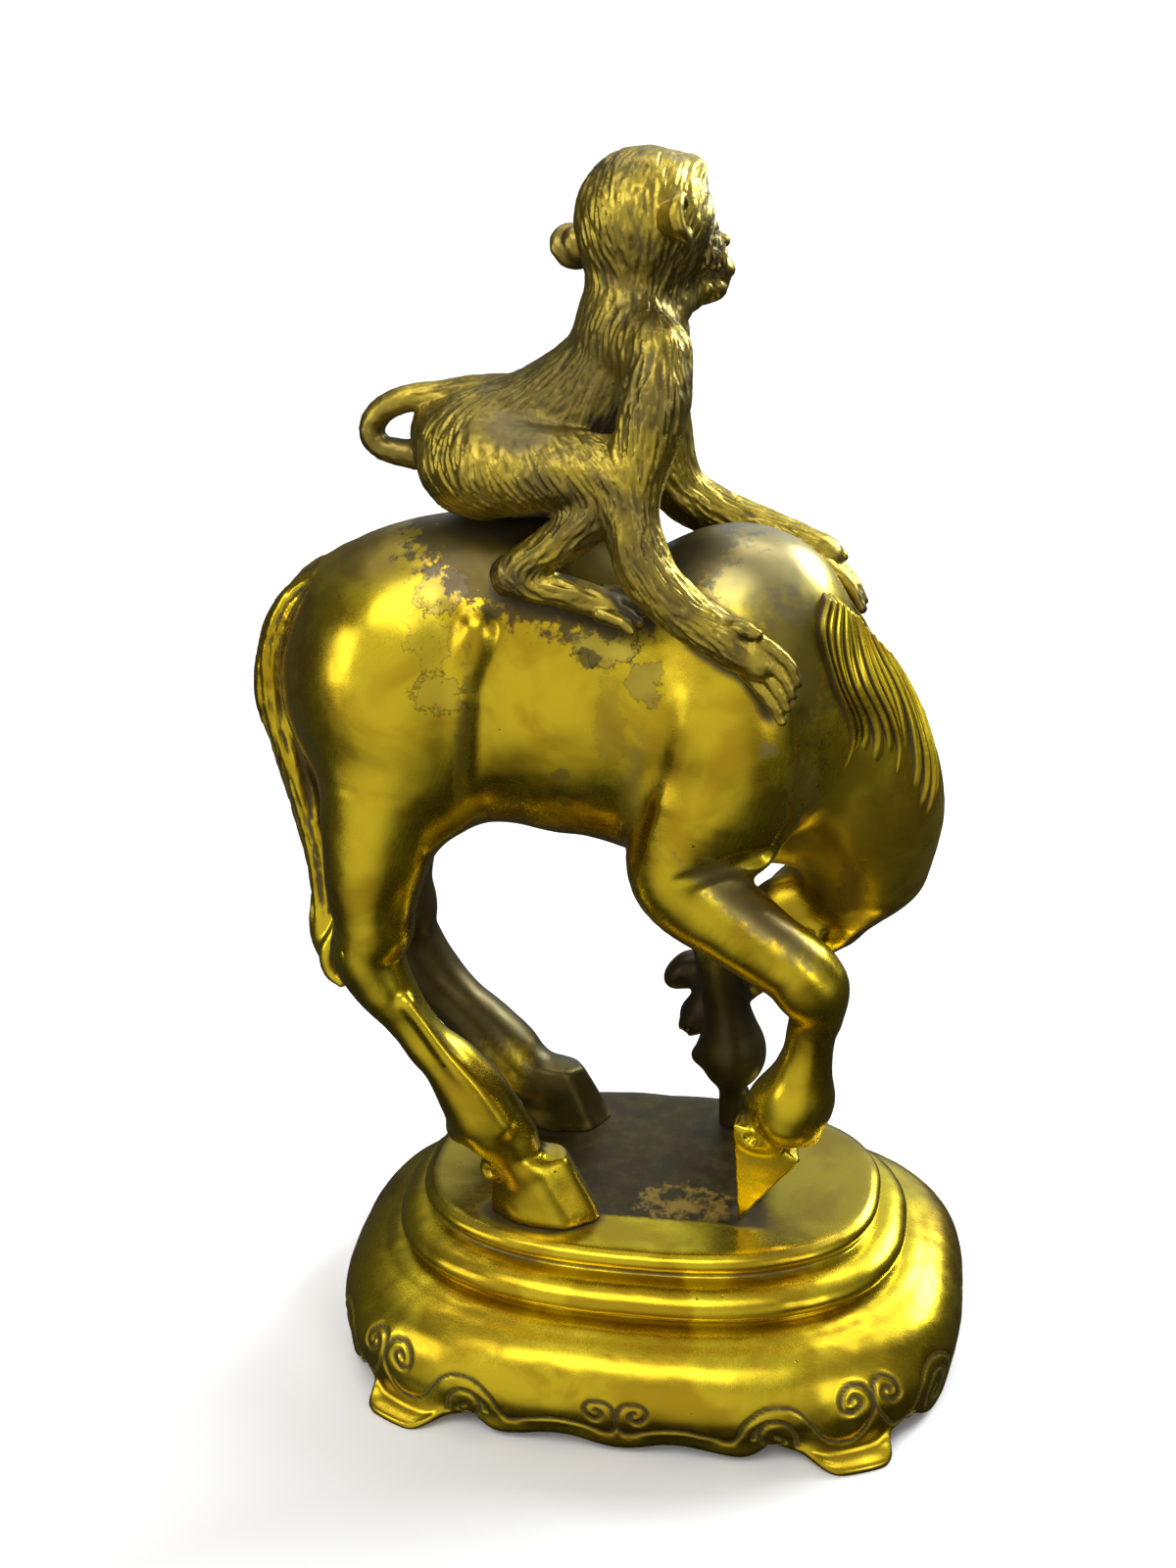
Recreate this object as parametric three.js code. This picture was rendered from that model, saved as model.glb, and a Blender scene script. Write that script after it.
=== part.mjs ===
// A monkey crouching on the back of a bowing horse, cast in bronze, on a four-footed stepped plinth.
// Millimetres, +Z up, +X the way the horse's body faces, +Y its left side.
import * as THREE from 'three';

// Moves the middle of the whole statue over the origin
const centring = [6.09, 0, 0];

// Driving sizes of the plinth
const deckTop = 44;
const gap = 0.3;
const bulgeLength = 82;
const bulgeWidth = 59;
const roundTop = 2.5;
const wallThickness = 3.2;
const deckThickness = 4;
const hemLevel = 2.6;
const hemWave = 1.2;
const lobeFrom = 0.312;
const sideLobes = 12.2;
const endLobes = 14.6;
const footTurn = Math.atan2(55.5, 60.4);
const footReach = 0.12;
const plinthRings = 112;

// Driving sizes of the animals
const clayStep = 1.9;
const fineStep = 1.3;
const plinthFaces = 2200;
const horseFaces = 4700;
const monkeyFaces = 3000;
const poll = [53, 16.5, 124.5];
const headTurn = [155, 46, 0];
const skullPlace = [5.2, 3, 284.4];
const gaze = [52, 7, -17];

// Catmull-Rom curve through stations [x, y, z, radius], with each span cut into equal parts
function flowing(stations, parts = 4) {
  if (stations.length < 3) {
    return stations;
  }
  const beyond = (one, other) => one.map((value, axis) => 2 * value - other[axis]);
  const s = [beyond(stations[0], stations[1]), ...stations, beyond(stations.at(-1), stations.at(-2))];
  const curve = [];
  for (let n = 0; n + 1 < stations.length; n++) {
    for (let part = 0; part < parts; part++) {
      const t = part / parts;
      curve.push(stations[0].map((_, axis) => {
        const [p0, p1, p2, p3] = [s[n][axis], s[n + 1][axis], s[n + 2][axis], s[n + 3][axis]];
        return 0.5 * (2 * p1 + (p2 - p0) * t + (2 * p0 - 5 * p1 + 4 * p2 - p3) * t * t +
          (3 * p1 - p0 - 3 * p2 + p3) * t ** 3);
      }));
    }
  }
  return [...curve, stations.at(-1)];
}

// Solid clay: signed distances on a grid, joined and carved with rounded seams
class Clay {
  constructor(low, high, step) {
    this.low = low;
    this.step = step;
    this.count = low.map((value, axis) => Math.ceil((high[axis] - value) / step) + 1);
    this.field = new Float64Array(this.count[0] * this.count[1] * this.count[2]).fill(50);
  }

  index(i, j, k) {
    return i + this.count[0] * (j + this.count[1] * k);
  }

  // Works one shape into the clay inside the box around it; blend is the width of the rounded seam
  work(centre, reach, blend, carve, distance) {
    const from = centre.map((value, axis) => (value - reach[axis] - blend - 2 - this.low[axis]) / this.step);
    const to = centre.map((value, axis) => (value + reach[axis] + blend + 2 - this.low[axis]) / this.step);
    const start = from.map((value) => Math.max(0, Math.floor(value)));
    const end = to.map((value, axis) => Math.min(this.count[axis] - 1, Math.ceil(value)));
    for (let k = start[2]; k <= end[2]; k++) {
      const z = this.low[2] + k * this.step;
      for (let j = start[1]; j <= end[1]; j++) {
        const y = this.low[1] + j * this.step;
        for (let i = start[0]; i <= end[0]; i++) {
          const x = this.low[0] + i * this.step;
          const place = this.index(i, j, k);
          const here = distance(x, y, z);
          const now = carve ? -this.field[place] : this.field[place];
          const other = here;
          const near = Math.max(blend - Math.abs(now - other), 0);
          const joined = Math.min(now, other) - (blend > 0 ? (near * near) / (4 * blend) : 0);
          this.field[place] = carve ? -joined : joined;
        }
      }
    }
  }

  // A smooth chain of round tapering lengths through stations [x, y, z, radius]
  limb(stations, blend = 3, carve = false) {
    const chain = flowing(stations);
    const [low, high] = [Math.min, Math.max].map((pick) =>
      [0, 1, 2].map((axis) => pick(...chain.map((station) => station[axis]))));
    const widest = Math.max(...chain.map((station) => station[3]));
    const lengths = chain.slice(1).map((b, n) => {
      const a = chain[n];
      const d = [b[0] - a[0], b[1] - a[1], b[2] - a[2]];
      return { a, d, square: d[0] * d[0] + d[1] * d[1] + d[2] * d[2], growth: b[3] - a[3] };
    });
    const centre = low.map((value, axis) => (value + high[axis]) / 2);
    const reach = low.map((value, axis) => (high[axis] - value) / 2 + widest);
    this.work(centre, reach, blend, carve, (x, y, z) => {
      let nearest = Infinity;
      for (const { a, d, square, growth } of lengths) {
        const px = x - a[0];
        const py = y - a[1];
        const pz = z - a[2];
        const t = Math.min(1, Math.max(0, (px * d[0] + py * d[1] + pz * d[2]) / square));
        const away = Math.hypot(px - t * d[0], py - t * d[1], pz - t * d[2]);
        nearest = Math.min(nearest, away - a[3] - t * growth);
      }
      return nearest;
    });
    return this;
  }

  // A solid with flat sides between two rings of corners, with rounded edges
  block(foot, crown, blend = 1.5, edge = 0.8) {
    const corners = [...foot, ...crown];
    const mean = (points) => [0, 1, 2].map((axis) => points.reduce((s, p) => s + p[axis], 0) / points.length);
    const less = (p, q) => p.map((value, axis) => value - q[axis]);
    const dot = (p, q) => p[0] * q[0] + p[1] * q[1] + p[2] * q[2];
    const middle = mean(corners);
    const planes = [foot, crown].map((ring) => {
      const parts = ring.map((corner, n) => normal(ring[0], corner, ring[(n + 1) % ring.length]));
      return { slope: mean(parts), place: mean(ring) };
    });
    foot.forEach((a, n) => {
      const next = (n + 1) % foot.length;
      const b = foot[next];
      const across = mean([crown[n], crown[next]]).map((value, axis) => value + (b[axis] - a[axis]) / 2);
      planes.push({ slope: normal(a, b, across), place: mean([a, b, crown[n], crown[next]]) });
    });
    planes.forEach((plane) => {
      const size = Math.hypot(...plane.slope) * (dot(plane.slope, less(middle, plane.place)) > 0 ? -1 : 1);
      plane.slope = plane.slope.map((value) => value / size);
    });
    const reach = [0, 1, 2].map((axis) => Math.max(...corners.map((p) => Math.abs(p[axis] - middle[axis]))));
    this.work(middle, reach, blend, false, (x, y, z) => {
      let most = -60;
      for (const { slope, place } of planes) {
        const side = dot(slope, less([x, y, z], place));
        most = Math.max(most, side) + Math.max(edge - Math.abs(most - side), 0) ** 2 / (4 * edge);
      }
      return most;
    });
    return this;
  }

  // An ellipsoid turned by yaw about Z, then pitch about its Y, then roll about its X, in degrees
  ball(centre, radii, turn = [0, 0, 0], blend = 6, carve = false) {
    const m = axesOf(turn);
    const radius = Math.max(...radii);
    this.work(centre, [radius, radius, radius], blend, carve, (x, y, z) => {
      const p = [x - centre[0], y - centre[1], z - centre[2]];
      const q = m.map((axis, n) => (axis[0] * p[0] + axis[1] * p[1] + axis[2] * p[2]) / radii[n]);
      const k0 = Math.hypot(q[0], q[1], q[2]);
      const k1 = Math.hypot(q[0] / radii[0], q[1] / radii[1], q[2] / radii[2]);
      return k1 < 1e-9 ? -Math.min(...radii) : (k0 * (k0 - 1)) / k1;
    });
    return this;
  }

  // Takes away everything below a level
  floor(level) {
    const [nx, ny, nz] = this.count;
    for (let k = 0; k < nz; k++) {
      const below = level - (this.low[2] + k * this.step);
      for (let n = k * nx * ny; n < (k + 1) * nx * ny; n++) {
        this.field[n] = Math.max(this.field[n], below);
      }
    }
    return this;
  }

  // Takes away whatever lies within a distance of another piece of clay on the same grid
  clear(other, distance) {
    for (let k = 0; k < this.count[2]; k++) {
      for (let j = 0; j < this.count[1]; j++) {
        for (let i = 0; i < this.count[0]; i++) {
          const place = this.index(i, j, k);
          if (this.field[place] > 4) {
            continue;
          }
          const x = this.low[0] + i * this.step;
          const y = this.low[1] + j * this.step;
          const z = this.low[2] + k * this.step;
          this.field[place] = Math.max(this.field[place], distance - other.at(x, y, z));
        }
      }
    }
    return this;
  }

  // The distance at any place, between the grid's own values
  at(x, y, z) {
    const g = [x, y, z].map((value, axis) => (value - this.low[axis]) / this.step);
    if (g.some((value, axis) => value < 0 || value >= this.count[axis] - 1)) {
      return 50;
    }
    const b = g.map(Math.floor);
    const t = g.map((value, axis) => value - b[axis]);
    let sum = 0;
    for (let c = 0; c < 8; c++) {
      const o = [c & 1, (c >> 1) & 1, (c >> 2) & 1];
      const w = o.reduce((product, bit, axis) => product * (bit ? t[axis] : 1 - t[axis]), 1);
      sum += w * this.field[this.index(b[0] + o[0], b[1] + o[1], b[2] + o[2])];
    }
    return sum;
  }

  // The skin where the distance is zero: every cell is split into six tetrahedra round its diagonal
  skin() {
    const corners = [0, 1, 2, 3, 4, 5, 6, 7].map((c) => [c & 1, (c >> 1) & 1, (c >> 2) & 1]);
    const paths = [[1, 3], [3, 2], [2, 6], [6, 4], [4, 5], [5, 1]];
    const points = [];
    const faces = [];
    const made = new Map();
    const [nx, ny, nz] = this.count;
    const total = nx * ny * nz;
    const value = (n) => (Math.abs(this.field[n]) < 1e-5 ? 1e-5 : this.field[n]);
    const point = (a, b) => {
      const key = a < b ? a * total + b : b * total + a;
      if (!made.has(key)) {
        const t = Math.min(0.92, Math.max(0.08, value(a) / (value(a) - value(b))));
        const p = [a, b].map((n) => [n % nx, Math.floor(n / nx) % ny, Math.floor(n / (nx * ny))]);
        made.set(key, points.length);
        points.push(p[0].map((v, axis) => this.low[axis] + this.step * (v + t * (p[1][axis] - v))));
      }
      return made.get(key);
    };
    for (let k = 0; k + 1 < nz; k++) {
      for (let j = 0; j + 1 < ny; j++) {
        for (let i = 0; i + 1 < nx; i++) {
          const ids = corners.map((c) => this.index(i + c[0], j + c[1], k + c[2]));
          const inside = ids.map((n) => value(n) < 0);
          if (inside.every(Boolean) || !inside.some(Boolean)) {
            continue;
          }
          for (const [p, q] of paths) {
            const tetra = [0, p, q, 7];
            const within = tetra.filter((c) => inside[c]);
            const beyond = tetra.filter((c) => !inside[c]);
            if (within.length === 0 || beyond.length === 0) {
              continue;
            }
            const edge = (c, d) => point(ids[c], ids[d]);
            const seen = [0, 1, 2].map((axis) =>
              beyond.reduce((s, c) => s + corners[c][axis], 0) / beyond.length -
              within.reduce((s, c) => s + corners[c][axis], 0) / within.length);
            if (within.length === 2) {
              const loop = [edge(within[0], beyond[0]), edge(within[0], beyond[1]),
                edge(within[1], beyond[1]), edge(within[1], beyond[0])];
              faceOut(points, faces, [loop[0], loop[1], loop[2]], seen);
              faceOut(points, faces, [loop[0], loop[2], loop[3]], seen);
            } else {
              const lone = within.length === 1 ? within[0] : beyond[0];
              const rest = tetra.filter((c) => c !== lone);
              faceOut(points, faces, rest.map((c) => edge(lone, c)), seen);
            }
          }
        }
      }
    }
    return { points, faces };
  }
}

function faceOut(points, faces, face, seen) {
  const [a, b, c] = face.map((n) => points[n]);
  const n = normal(a, b, c);
  const side = n[0] * seen[0] + n[1] * seen[1] + n[2] * seen[2];
  faces.push(side > 0 ? face : [face[0], face[2], face[1]]);
}

function normal(a, b, c) {
  const u = [b[0] - a[0], b[1] - a[1], b[2] - a[2]];
  const v = [c[0] - a[0], c[1] - a[1], c[2] - a[2]];
  return [u[1] * v[2] - u[2] * v[1], u[2] * v[0] - u[0] * v[2], u[0] * v[1] - u[1] * v[0]];
}

// The three unit axes of a frame turned by yaw, pitch and roll in degrees
function axesOf([yaw, pitch, roll]) {
  const [a, b, c] = [yaw, pitch, roll].map((angle) => (angle * Math.PI) / 180);
  const [ca, cb, cc] = [a, b, c].map(Math.cos);
  const [sa, sb, sc] = [a, b, c].map(Math.sin);
  return [
    [ca * cb, sa * cb, -sb],
    [ca * sb * sc - sa * cc, sa * sb * sc + ca * cc, cb * sc],
    [ca * sb * cc + sa * sc, sa * sb * cc - ca * sc, cb * cc],
  ];
}

// Thins a closed skin down to a number of faces, taking away the edge that changes the shape least each time
function thin({ points, faces }, wanted) {
  const rounds = points.map(() => new Set());
  const quadrics = points.map(() => new Float64Array(10));
  faces.forEach((face, n) => {
    const [a, b, c] = face.map((v) => points[v]);
    const m = normal(a, b, c);
    const size = Math.hypot(...m) || 1e-12;
    const [x, y, z] = m.map((v) => v / size);
    const w = -(x * a[0] + y * a[1] + z * a[2]);
    const q = [x * x, x * y, x * z, x * w, y * y, y * z, y * w, z * z, z * w, w * w];
    face.forEach((v) => {
      rounds[v].add(n);
      q.forEach((value, at) => {
        quadrics[v][at] += (value * size) / 2;
      });
    });
  });
  const stamp = new Int32Array(points.length);
  const heap = [];
  const cost = (q, [x, y, z]) =>
    q[0] * x * x + 2 * q[1] * x * y + 2 * q[2] * x * z + 2 * q[3] * x + q[4] * y * y +
    2 * q[5] * y * z + 2 * q[6] * y + q[7] * z * z + 2 * q[8] * z + q[9];
  const push = (a, b) => {
    const q = quadrics[a].map((value, at) => value + quadrics[b][at]);
    const middle = points[a].map((value, axis) => (value + points[b][axis]) / 2);
    const span = Math.hypot(...points[a].map((value, axis) => value - points[b][axis]));
    const places = [middle, points[a], points[b]];
    const best = lowest(q, middle);
    if (best && Math.hypot(...best.map((value, axis) => value - middle[axis])) < span) {
      places.push(best);
    }
    const costs = places.map((p) => cost(q, p));
    const pick = costs.indexOf(Math.min(...costs));
    const price = costs[pick] + 1e-4 * span * span;
    const item = { a, b, place: places[pick], price, sa: stamp[a], sb: stamp[b] };
    let at = heap.push(item) - 1;
    while (at > 0 && heap[(at - 1) >> 1].price > item.price) {
      heap[at] = heap[(at - 1) >> 1];
      at = (at - 1) >> 1;
    }
    heap[at] = item;
  };
  const pop = () => {
    const top = heap[0];
    const last = heap.pop();
    if (heap.length > 0) {
      let at = 0;
      for (;;) {
        let child = 2 * at + 1;
        if (child >= heap.length) {
          break;
        }
        if (child + 1 < heap.length && heap[child + 1].price < heap[child].price) {
          child += 1;
        }
        if (heap[child].price >= last.price) {
          break;
        }
        heap[at] = heap[child];
        at = child;
      }
      heap[at] = last;
    }
    return top;
  };
  const ring = (v) => {
    const found = new Set();
    rounds[v].forEach((n) => faces[n].forEach((o) => o !== v && found.add(o)));
    return found;
  };
  faces.forEach((face) => face.forEach((v, n) => {
    const o = face[(n + 1) % 3];
    if (v < o) {
      push(v, o);
    }
  }));
  let left = faces.length;
  while (left > wanted && heap.length > 0) {
    const { a, b, place, sa, sb } = pop();
    if (stamp[a] !== sa || stamp[b] !== sb) {
      continue;
    }
    const ringA = ring(a);
    const shared = [...ring(b)].filter((v) => ringA.has(v));
    const tight = shared.length !== 2 || shared.some((v) => rounds[v].size < 4);
    if (tight || turnsOver(a, b, place) || turnsOver(b, a, place)) {
      continue;
    }
    points[a] = place;
    quadrics[b].forEach((value, at) => {
      quadrics[a][at] += value;
    });
    rounds[b].forEach((n) => {
      if (faces[n].includes(a)) {
        faces[n].forEach((v) => rounds[v].delete(n));
        faces[n] = null;
        left -= 1;
      } else {
        faces[n] = faces[n].map((v) => (v === b ? a : v));
        rounds[a].add(n);
      }
    });
    stamp[b] = -1;
    stamp[a] += 1;
    ring(a).forEach((v) => push(a, v));
  }

  // Whether moving a vertex turns one of its faces over or makes it a sliver
  function turnsOver(v, other, place) {
    return [...rounds[v]].some((n) => {
      if (faces[n].includes(other)) {
        return false;
      }
      const before = faces[n].map((o) => points[o]);
      const after = faces[n].map((o) => (o === v ? place : points[o]));
      const m = normal(...before);
      const k = normal(...after);
      const sizes = Math.hypot(...m) * Math.hypot(...k);
      const sides = after.map((p, at) => Math.hypot(...p.map((x, axis) => x - after[(at + 1) % 3][axis])));
      const longest = Math.max(...sides);
      const turned = m[0] * k[0] + m[1] * k[1] + m[2] * k[2] < 0.35 * sizes;
      return turned || Math.hypot(...k) < 0.06 * longest * longest;
    });
  }
  const kept = faces.filter(Boolean);
  const numbers = new Map();
  kept.forEach((face) => face.forEach((v) => numbers.has(v) || numbers.set(v, numbers.size)));
  return {
    points: [...numbers.keys()].map((v) => points[v]),
    faces: kept.map((face) => face.map((v) => numbers.get(v))),
  };
}

// The place where a quadric is lowest, or null when it is flat in some direction
function lowest(q, near) {
  const soft = 1e-3 * (q[0] + q[4] + q[7]);
  const [a, b, c, e, f, i] = [q[0] + soft, q[1], q[2], q[4] + soft, q[5], q[7] + soft];
  const r = [soft * near[0] - q[3], soft * near[1] - q[6], soft * near[2] - q[8]];
  const whole = a * (e * i - f * f) - b * (b * i - f * c) + c * (b * f - e * c);
  if (Math.abs(whole) < 1e-12) {
    return null;
  }
  return [
    (r[0] * (e * i - f * f) - b * (r[1] * i - f * r[2]) + c * (r[1] * f - e * r[2])) / whole,
    (a * (r[1] * i - f * r[2]) - r[0] * (b * i - f * c) + c * (b * r[2] - r[1] * c)) / whole,
    (a * (e * r[2] - r[1] * f) - b * (b * r[2] - r[1] * c) + r[0] * (b * f - e * c)) / whole,
  ];
}
// Mane: six lines down the near side, front of the withers first, from the crest to the tips
const nearMane = [
  [[44.5, -8, 207], [44, -15, 200.5], [47, -17, 190], [51, -17.5, 181],
    [53, -17.5, 174], [50.5, -16, 164.5]],
  [[46.5, -5, 205.5], [47.5, -12, 197.5], [51.5, -15.5, 188], [55, -14.5, 178.5],
    [55.5, -14.5, 172], [53, -15.5, 163]],
  [[49.5, -4, 203], [52.5, -8, 195], [56.5, -10.5, 186.5], [60, -9.5, 176.5],
    [62, -9.5, 168], [59.5, -10.5, 153]],
  [[52.5, -2, 199.5], [56.5, -4.5, 191.5], [61, -6, 183], [64, -7.5, 174.5],
    [65, -7.5, 165], [60.5, -9.5, 152.5]],
  [[56, 0, 195], [61.5, -1.5, 185.5], [66, -3, 175.5], [68.5, -3.5, 165.5],
    [69, -4.5, 157], [67, -5, 149]],
  [[59, 1.5, 191], [65, 1.5, 180.5], [69.5, 1.5, 168], [71.5, 1.5, 156.5],
    [71.5, 1, 151], [69.5, 0.5, 144.5]],
];

// Locks of the mane's far side: root, middle and tip
const farMane = [
  [[48, 2, 198.5], [50.5, 13, 188.5], [53, 18, 174]],
  [[51, 3, 195.5], [54.5, 14, 182.5], [57, 19, 166]],
  [[54, 3.5, 191.5], [58.5, 14, 177.5], [60.5, 19, 160]],
  [[56.5, 4, 187.5], [61.5, 13.5, 173], [63, 18.5, 154.5]],
  [[59, 4.5, 183.5], [64.5, 12.5, 168], [65.5, 18, 150]],
  [[61.5, 5, 179], [67, 11, 163.5], [67.5, 15.5, 146]],
];

// Tail from the dock down the hind quarters: x, y, z and radius
const tail = [
  [-66, 0, 207, 5.5], [-76, 0, 202.6, 5], [-84.2, 0, 192.2, 5], [-88.6, 0, 177.5, 5],
  [-86, 0, 164, 5.2], [-82.6, -1, 150, 5.2], [-79.8, -2, 136, 5], [-79, -4, 123, 4.8],
  [-79.5, -6, 113, 4.8], [-77, -9, 106, 3.2],
];

// Stations of a tapering lock on the parabola through its root, middle and tip
function lock(root, middle, tip, radius) {
  return [0, 0.25, 0.5, 0.75, 1].map((t) => root.map((value, axis) =>
    value * (1 - t) * (1 - 2 * t) + middle[axis] * 4 * t * (1 - t) + tip[axis] * t * (2 * t - 1))
    .concat(radius - radius * 0.7 * t * t));
}

// A function that takes forward, left and up lengths in a turned frame to x, y, z
function placed(origin, turn) {
  const axes = axesOf(turn);
  return (forward, left, up) =>
    origin.map((value, axis) => value + forward * axes[0][axis] + left * axes[1][axis] + up * axes[2][axis]);
}

// The horse: croup, barrel and chest, hind quarters, the four legs, the bowed neck, mane and tail
function shapeHorse(clay) {
  clay.ball([-51, 0, 180], [33.6, 29, 37.6], [0, 0, 0], 8);
  clay.ball([-13, 0, 177.5], [50, 26.5, 34.5], [0, 7, 0], 8);
  clay.ball([-28, 0, 193.5], [37, 21, 28.6], [0, 2, 0], 8);
  clay.ball([5, 0, 160], [15, 18, 21], [0, 0, 0], 8);
  clay.ball([24, 0, 178], [28, 26, 37], [0, 0, 0], 10);
  clay.ball([26, 0, 198.4], [22.5, 18, 20], [0, 0, 0], 8);
  for (const side of [-1, 1]) {
    clay.ball([-52, side * 13, 176], [22, 18, 33]);
    clay.ball([-49, side * 17, 170], [14, 12, 22], [0, -12, 0], 5);
    // Front edge of the haunch, from the point of the hip to the flank, standing proud of the barrel
    clay.block([[-36.5, side * 15, 209.5], [-27.5, side * 15.5, 208], [-25.5, side * 17, 200.5],
      [-31, side * 18, 189]], [[-36, side * 20.6, 206.5], [-29.4, side * 20.4, 206.2],
      [-27.6, side * 21.8, 200.6], [-32, side * 25, 189]], 4, 3);
    clay.limb([[-30.5, side * 20.6, 200, 4.6], [-34.2, side * 21.8, 189, 5],
      [-37, side * 22.2, 176, 5.2], [-42, side * 21.4, 164.5, 5.2], [-50, side * 20.5, 154.5, 5.5]], 2);
  }

  // Hind legs: thigh, gaskin, hock with its point, cannon and fetlock
  clay.limb([[-56.5, -16, 160, 16], [-58.5, -20, 148, 13.8], [-60.5, -23, 136, 11.2],
    [-60.5, -24.5, 126, 9]], 4);
  clay.limb([[-60.5, -24.5, 126, 9], [-62.5, -25.2, 119.3, 8.4], [-59.5, -25.2, 110.4, 7.4],
    [-54.6, -25, 102, 5.8], [-49.7, -24.5, 93.9, 5.9], [-44.8, -24, 88, 6.8], [-39.8, -23.5, 79, 8.6],
    [-37, -23, 73.1, 9], [-31.5, -22.3, 66.5, 7]], 2);
  clay.limb([[-67, -25.5, 124, 3], [-68, -25.5, 118.5, 3.7], [-64, -25.2, 110, 3.4],
    [-56, -25, 100, 3]], 2.5);
  clay.limb([[-41, -23, 71.5, 4.5], [-43.5, -23, 68.8, 4]], 3);
  clay.limb([[-52, -30, 108, 1.6], [-44.5, -29.6, 95, 1.7], [-37, -29, 84, 1.9],
    [-31.5, -28.4, 74, 2]], 3);
  clay.limb([[-59, 15, 158, 16], [-66, 18, 141, 12.9], [-69.5, 19, 121, 10.8],
    [-69.6, 20, 107.6, 9.8]], 6);
  clay.limb([[-69.6, 20, 107.6, 9.8], [-68.8, 21, 98.8, 9.3], [-62.4, 22, 86.6, 8.1],
    [-55.6, 22, 78.4, 7.4], [-47, 21, 69.4, 8.4], [-41.6, 21, 63, 8.8], [-37, 20, 58, 7]], 3);
  clay.limb([[-75, 21, 105, 3.4], [-74.5, 21, 98, 3.6], [-66, 22, 84, 3.2]], 3);

  // Hind hooves: flat-sided blocks flaring to the sole, the near one with the knob of its heel
  clay.limb([[-34.5, -22.6, 68, 7], [-27, -22.8, 59, 7.8]], 3);
  clay.block([[-38.6, -22.4, 43], [-29.8, -28.8, 43], [-16, -29.8, 43], [-8, -23.6, 43],
    [-11, -15.5, 43], [-24, -12.5, 43], [-36.5, -16.5, 43]], [[-35.5, -22, 61], [-28.3, -27.5, 66.5],
    [-20.5, -28.3, 65.2], [-16.2, -22.5, 65], [-17, -15.5, 62], [-26, -14, 62], [-34, -17, 60]], 1);
  clay.ball([-35.4, -22.8, 58.8], [4, 3.8, 3.6], [0, 0, 0], 1.2);
  clay.ball([-36.2, -26.6, 58.5], [1.7, 1.6, 1.5], [0, 0, 0], 0.6, true);
  clay.limb([[-37, 20, 58, 7], [-31, 20, 56, 7.4]], 3);
  clay.block([[-40, 17, 43], [-31, 12, 43], [-18, 14, 43], [-13.6, 23, 43], [-18, 29, 43],
    [-36, 28, 43]], [[-36, 17, 62], [-29, 14, 64], [-23.2, 16, 63.4], [-21.5, 22, 61], [-25, 27, 60],
    [-34, 26, 60]], 1);

  // Near foreleg, bent at the knee, standing on the toe of its hoof
  clay.ball([26, -18, 170], [16, 12, 30]);
  clay.limb([[18, -16, 158, 14.5], [13.4, -18.5, 141, 12.3], [26, -20.5, 129.3, 10.1],
    [40, -21, 119, 8.6]], 4);
  clay.limb([[39, -21, 120, 8], [44.6, -21, 114.6, 8], [45, -20.5, 107, 6.6], [43.8, -20, 101, 5.9],
    [42.6, -19.6, 93, 6.2], [40, -18.8, 82, 8.8], [38.6, -18.5, 77.5, 9.2]], 2.5);
  clay.ball([41.5, -25.5, 113.5], [5, 3.4, 5.6], [0, 0, 0], 3);
  clay.limb([[40.5, -18.7, 82, 8], [33.5, -18.5, 82, 4.2], [30.2, -18.5, 79.6, 2.4]], 3);
  clay.limb([[30.5, -18, 78, 2.6], [37, -21, 74, 2.6], [43, -20, 72, 3]], 1.5);
  // Its hoof: a flat wedge with sharp edges, standing on its toe
  clay.block([[24.7, -21.8, 75], [41.6, -22.4, 65.6], [25.3, -19, 43]], [[26.4, -13, 74],
    [39, -13, 66], [25.7, -14.5, 43]], 0.8, 0.5);
  clay.ball([32, -17.8, 71], [7, 6, 5], [0, 0, 0], 2);
  clay.ball([29.4, -22.8, 71.4], [1.7, 1.4, 1.5], [0, 0, 0], 0.4, true);

  // Far foreleg, straight, widening at the fetlock, with its toe turned under
  clay.ball([24, 17, 168], [16, 12, 30]);
  clay.limb([[17, 15, 146, 12.5], [15.5, 16, 125, 8.8], [16.4, 17.3, 104, 6.6], [17.2, 18.6, 91, 5.7],
    [18.2, 20, 83, 6.1], [19, 21, 75, 7.5], [19.4, 21.6, 68, 9.1], [19.2, 22, 62.5, 6.4],
    [18.8, 22.5, 57, 3]], 4);
  clay.limb([[14, 21.5, 68.5, 3.2], [10.6, 21.5, 66.4, 2.4]], 3);
  clay.limb([[18.8, 22.5, 58.5, 3.2], [19.6, 24.5, 51, 4.4], [19.8, 25, 42, 5]], 2);

  // Neck and throat
  clay.limb([[28, 0, 188, 22], [40, 3, 178, 20.6], [49.3, 6, 165, 19.2], [54.5, 9, 149, 18.2],
    [54.8, 14, 131, 15]], 7);
  clay.limb([[38, 6, 158, 12], [44.5, 8, 141, 10], [46, 12, 130, 7]], 5);
  clay.limb([[25, -2, 149, 11], [35, 3, 145.5, 10.6], [45, 8, 141, 9.6]], 4);
  shapeHorseHead(clay);
  for (const line of nearMane) {
    clay.limb(line.map((place, n) => place.concat(2.5 - 0.05 * n * n)), 1);
  }
  for (const [root, middle, tip] of farMane) {
    clay.limb(lock(root, middle, tip, 2.1), 0.8);
  }
  clay.limb(tail, 3);
  clay.limb([[-74, -6, 123, 1.8], [-75.5, -9.5, 116, 2.2], [-78.3, -11, 110.5, 2.2],
    [-78, -11.5, 105, 2], [-75, -13, 102.6, 1.3]], 1.2);

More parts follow.
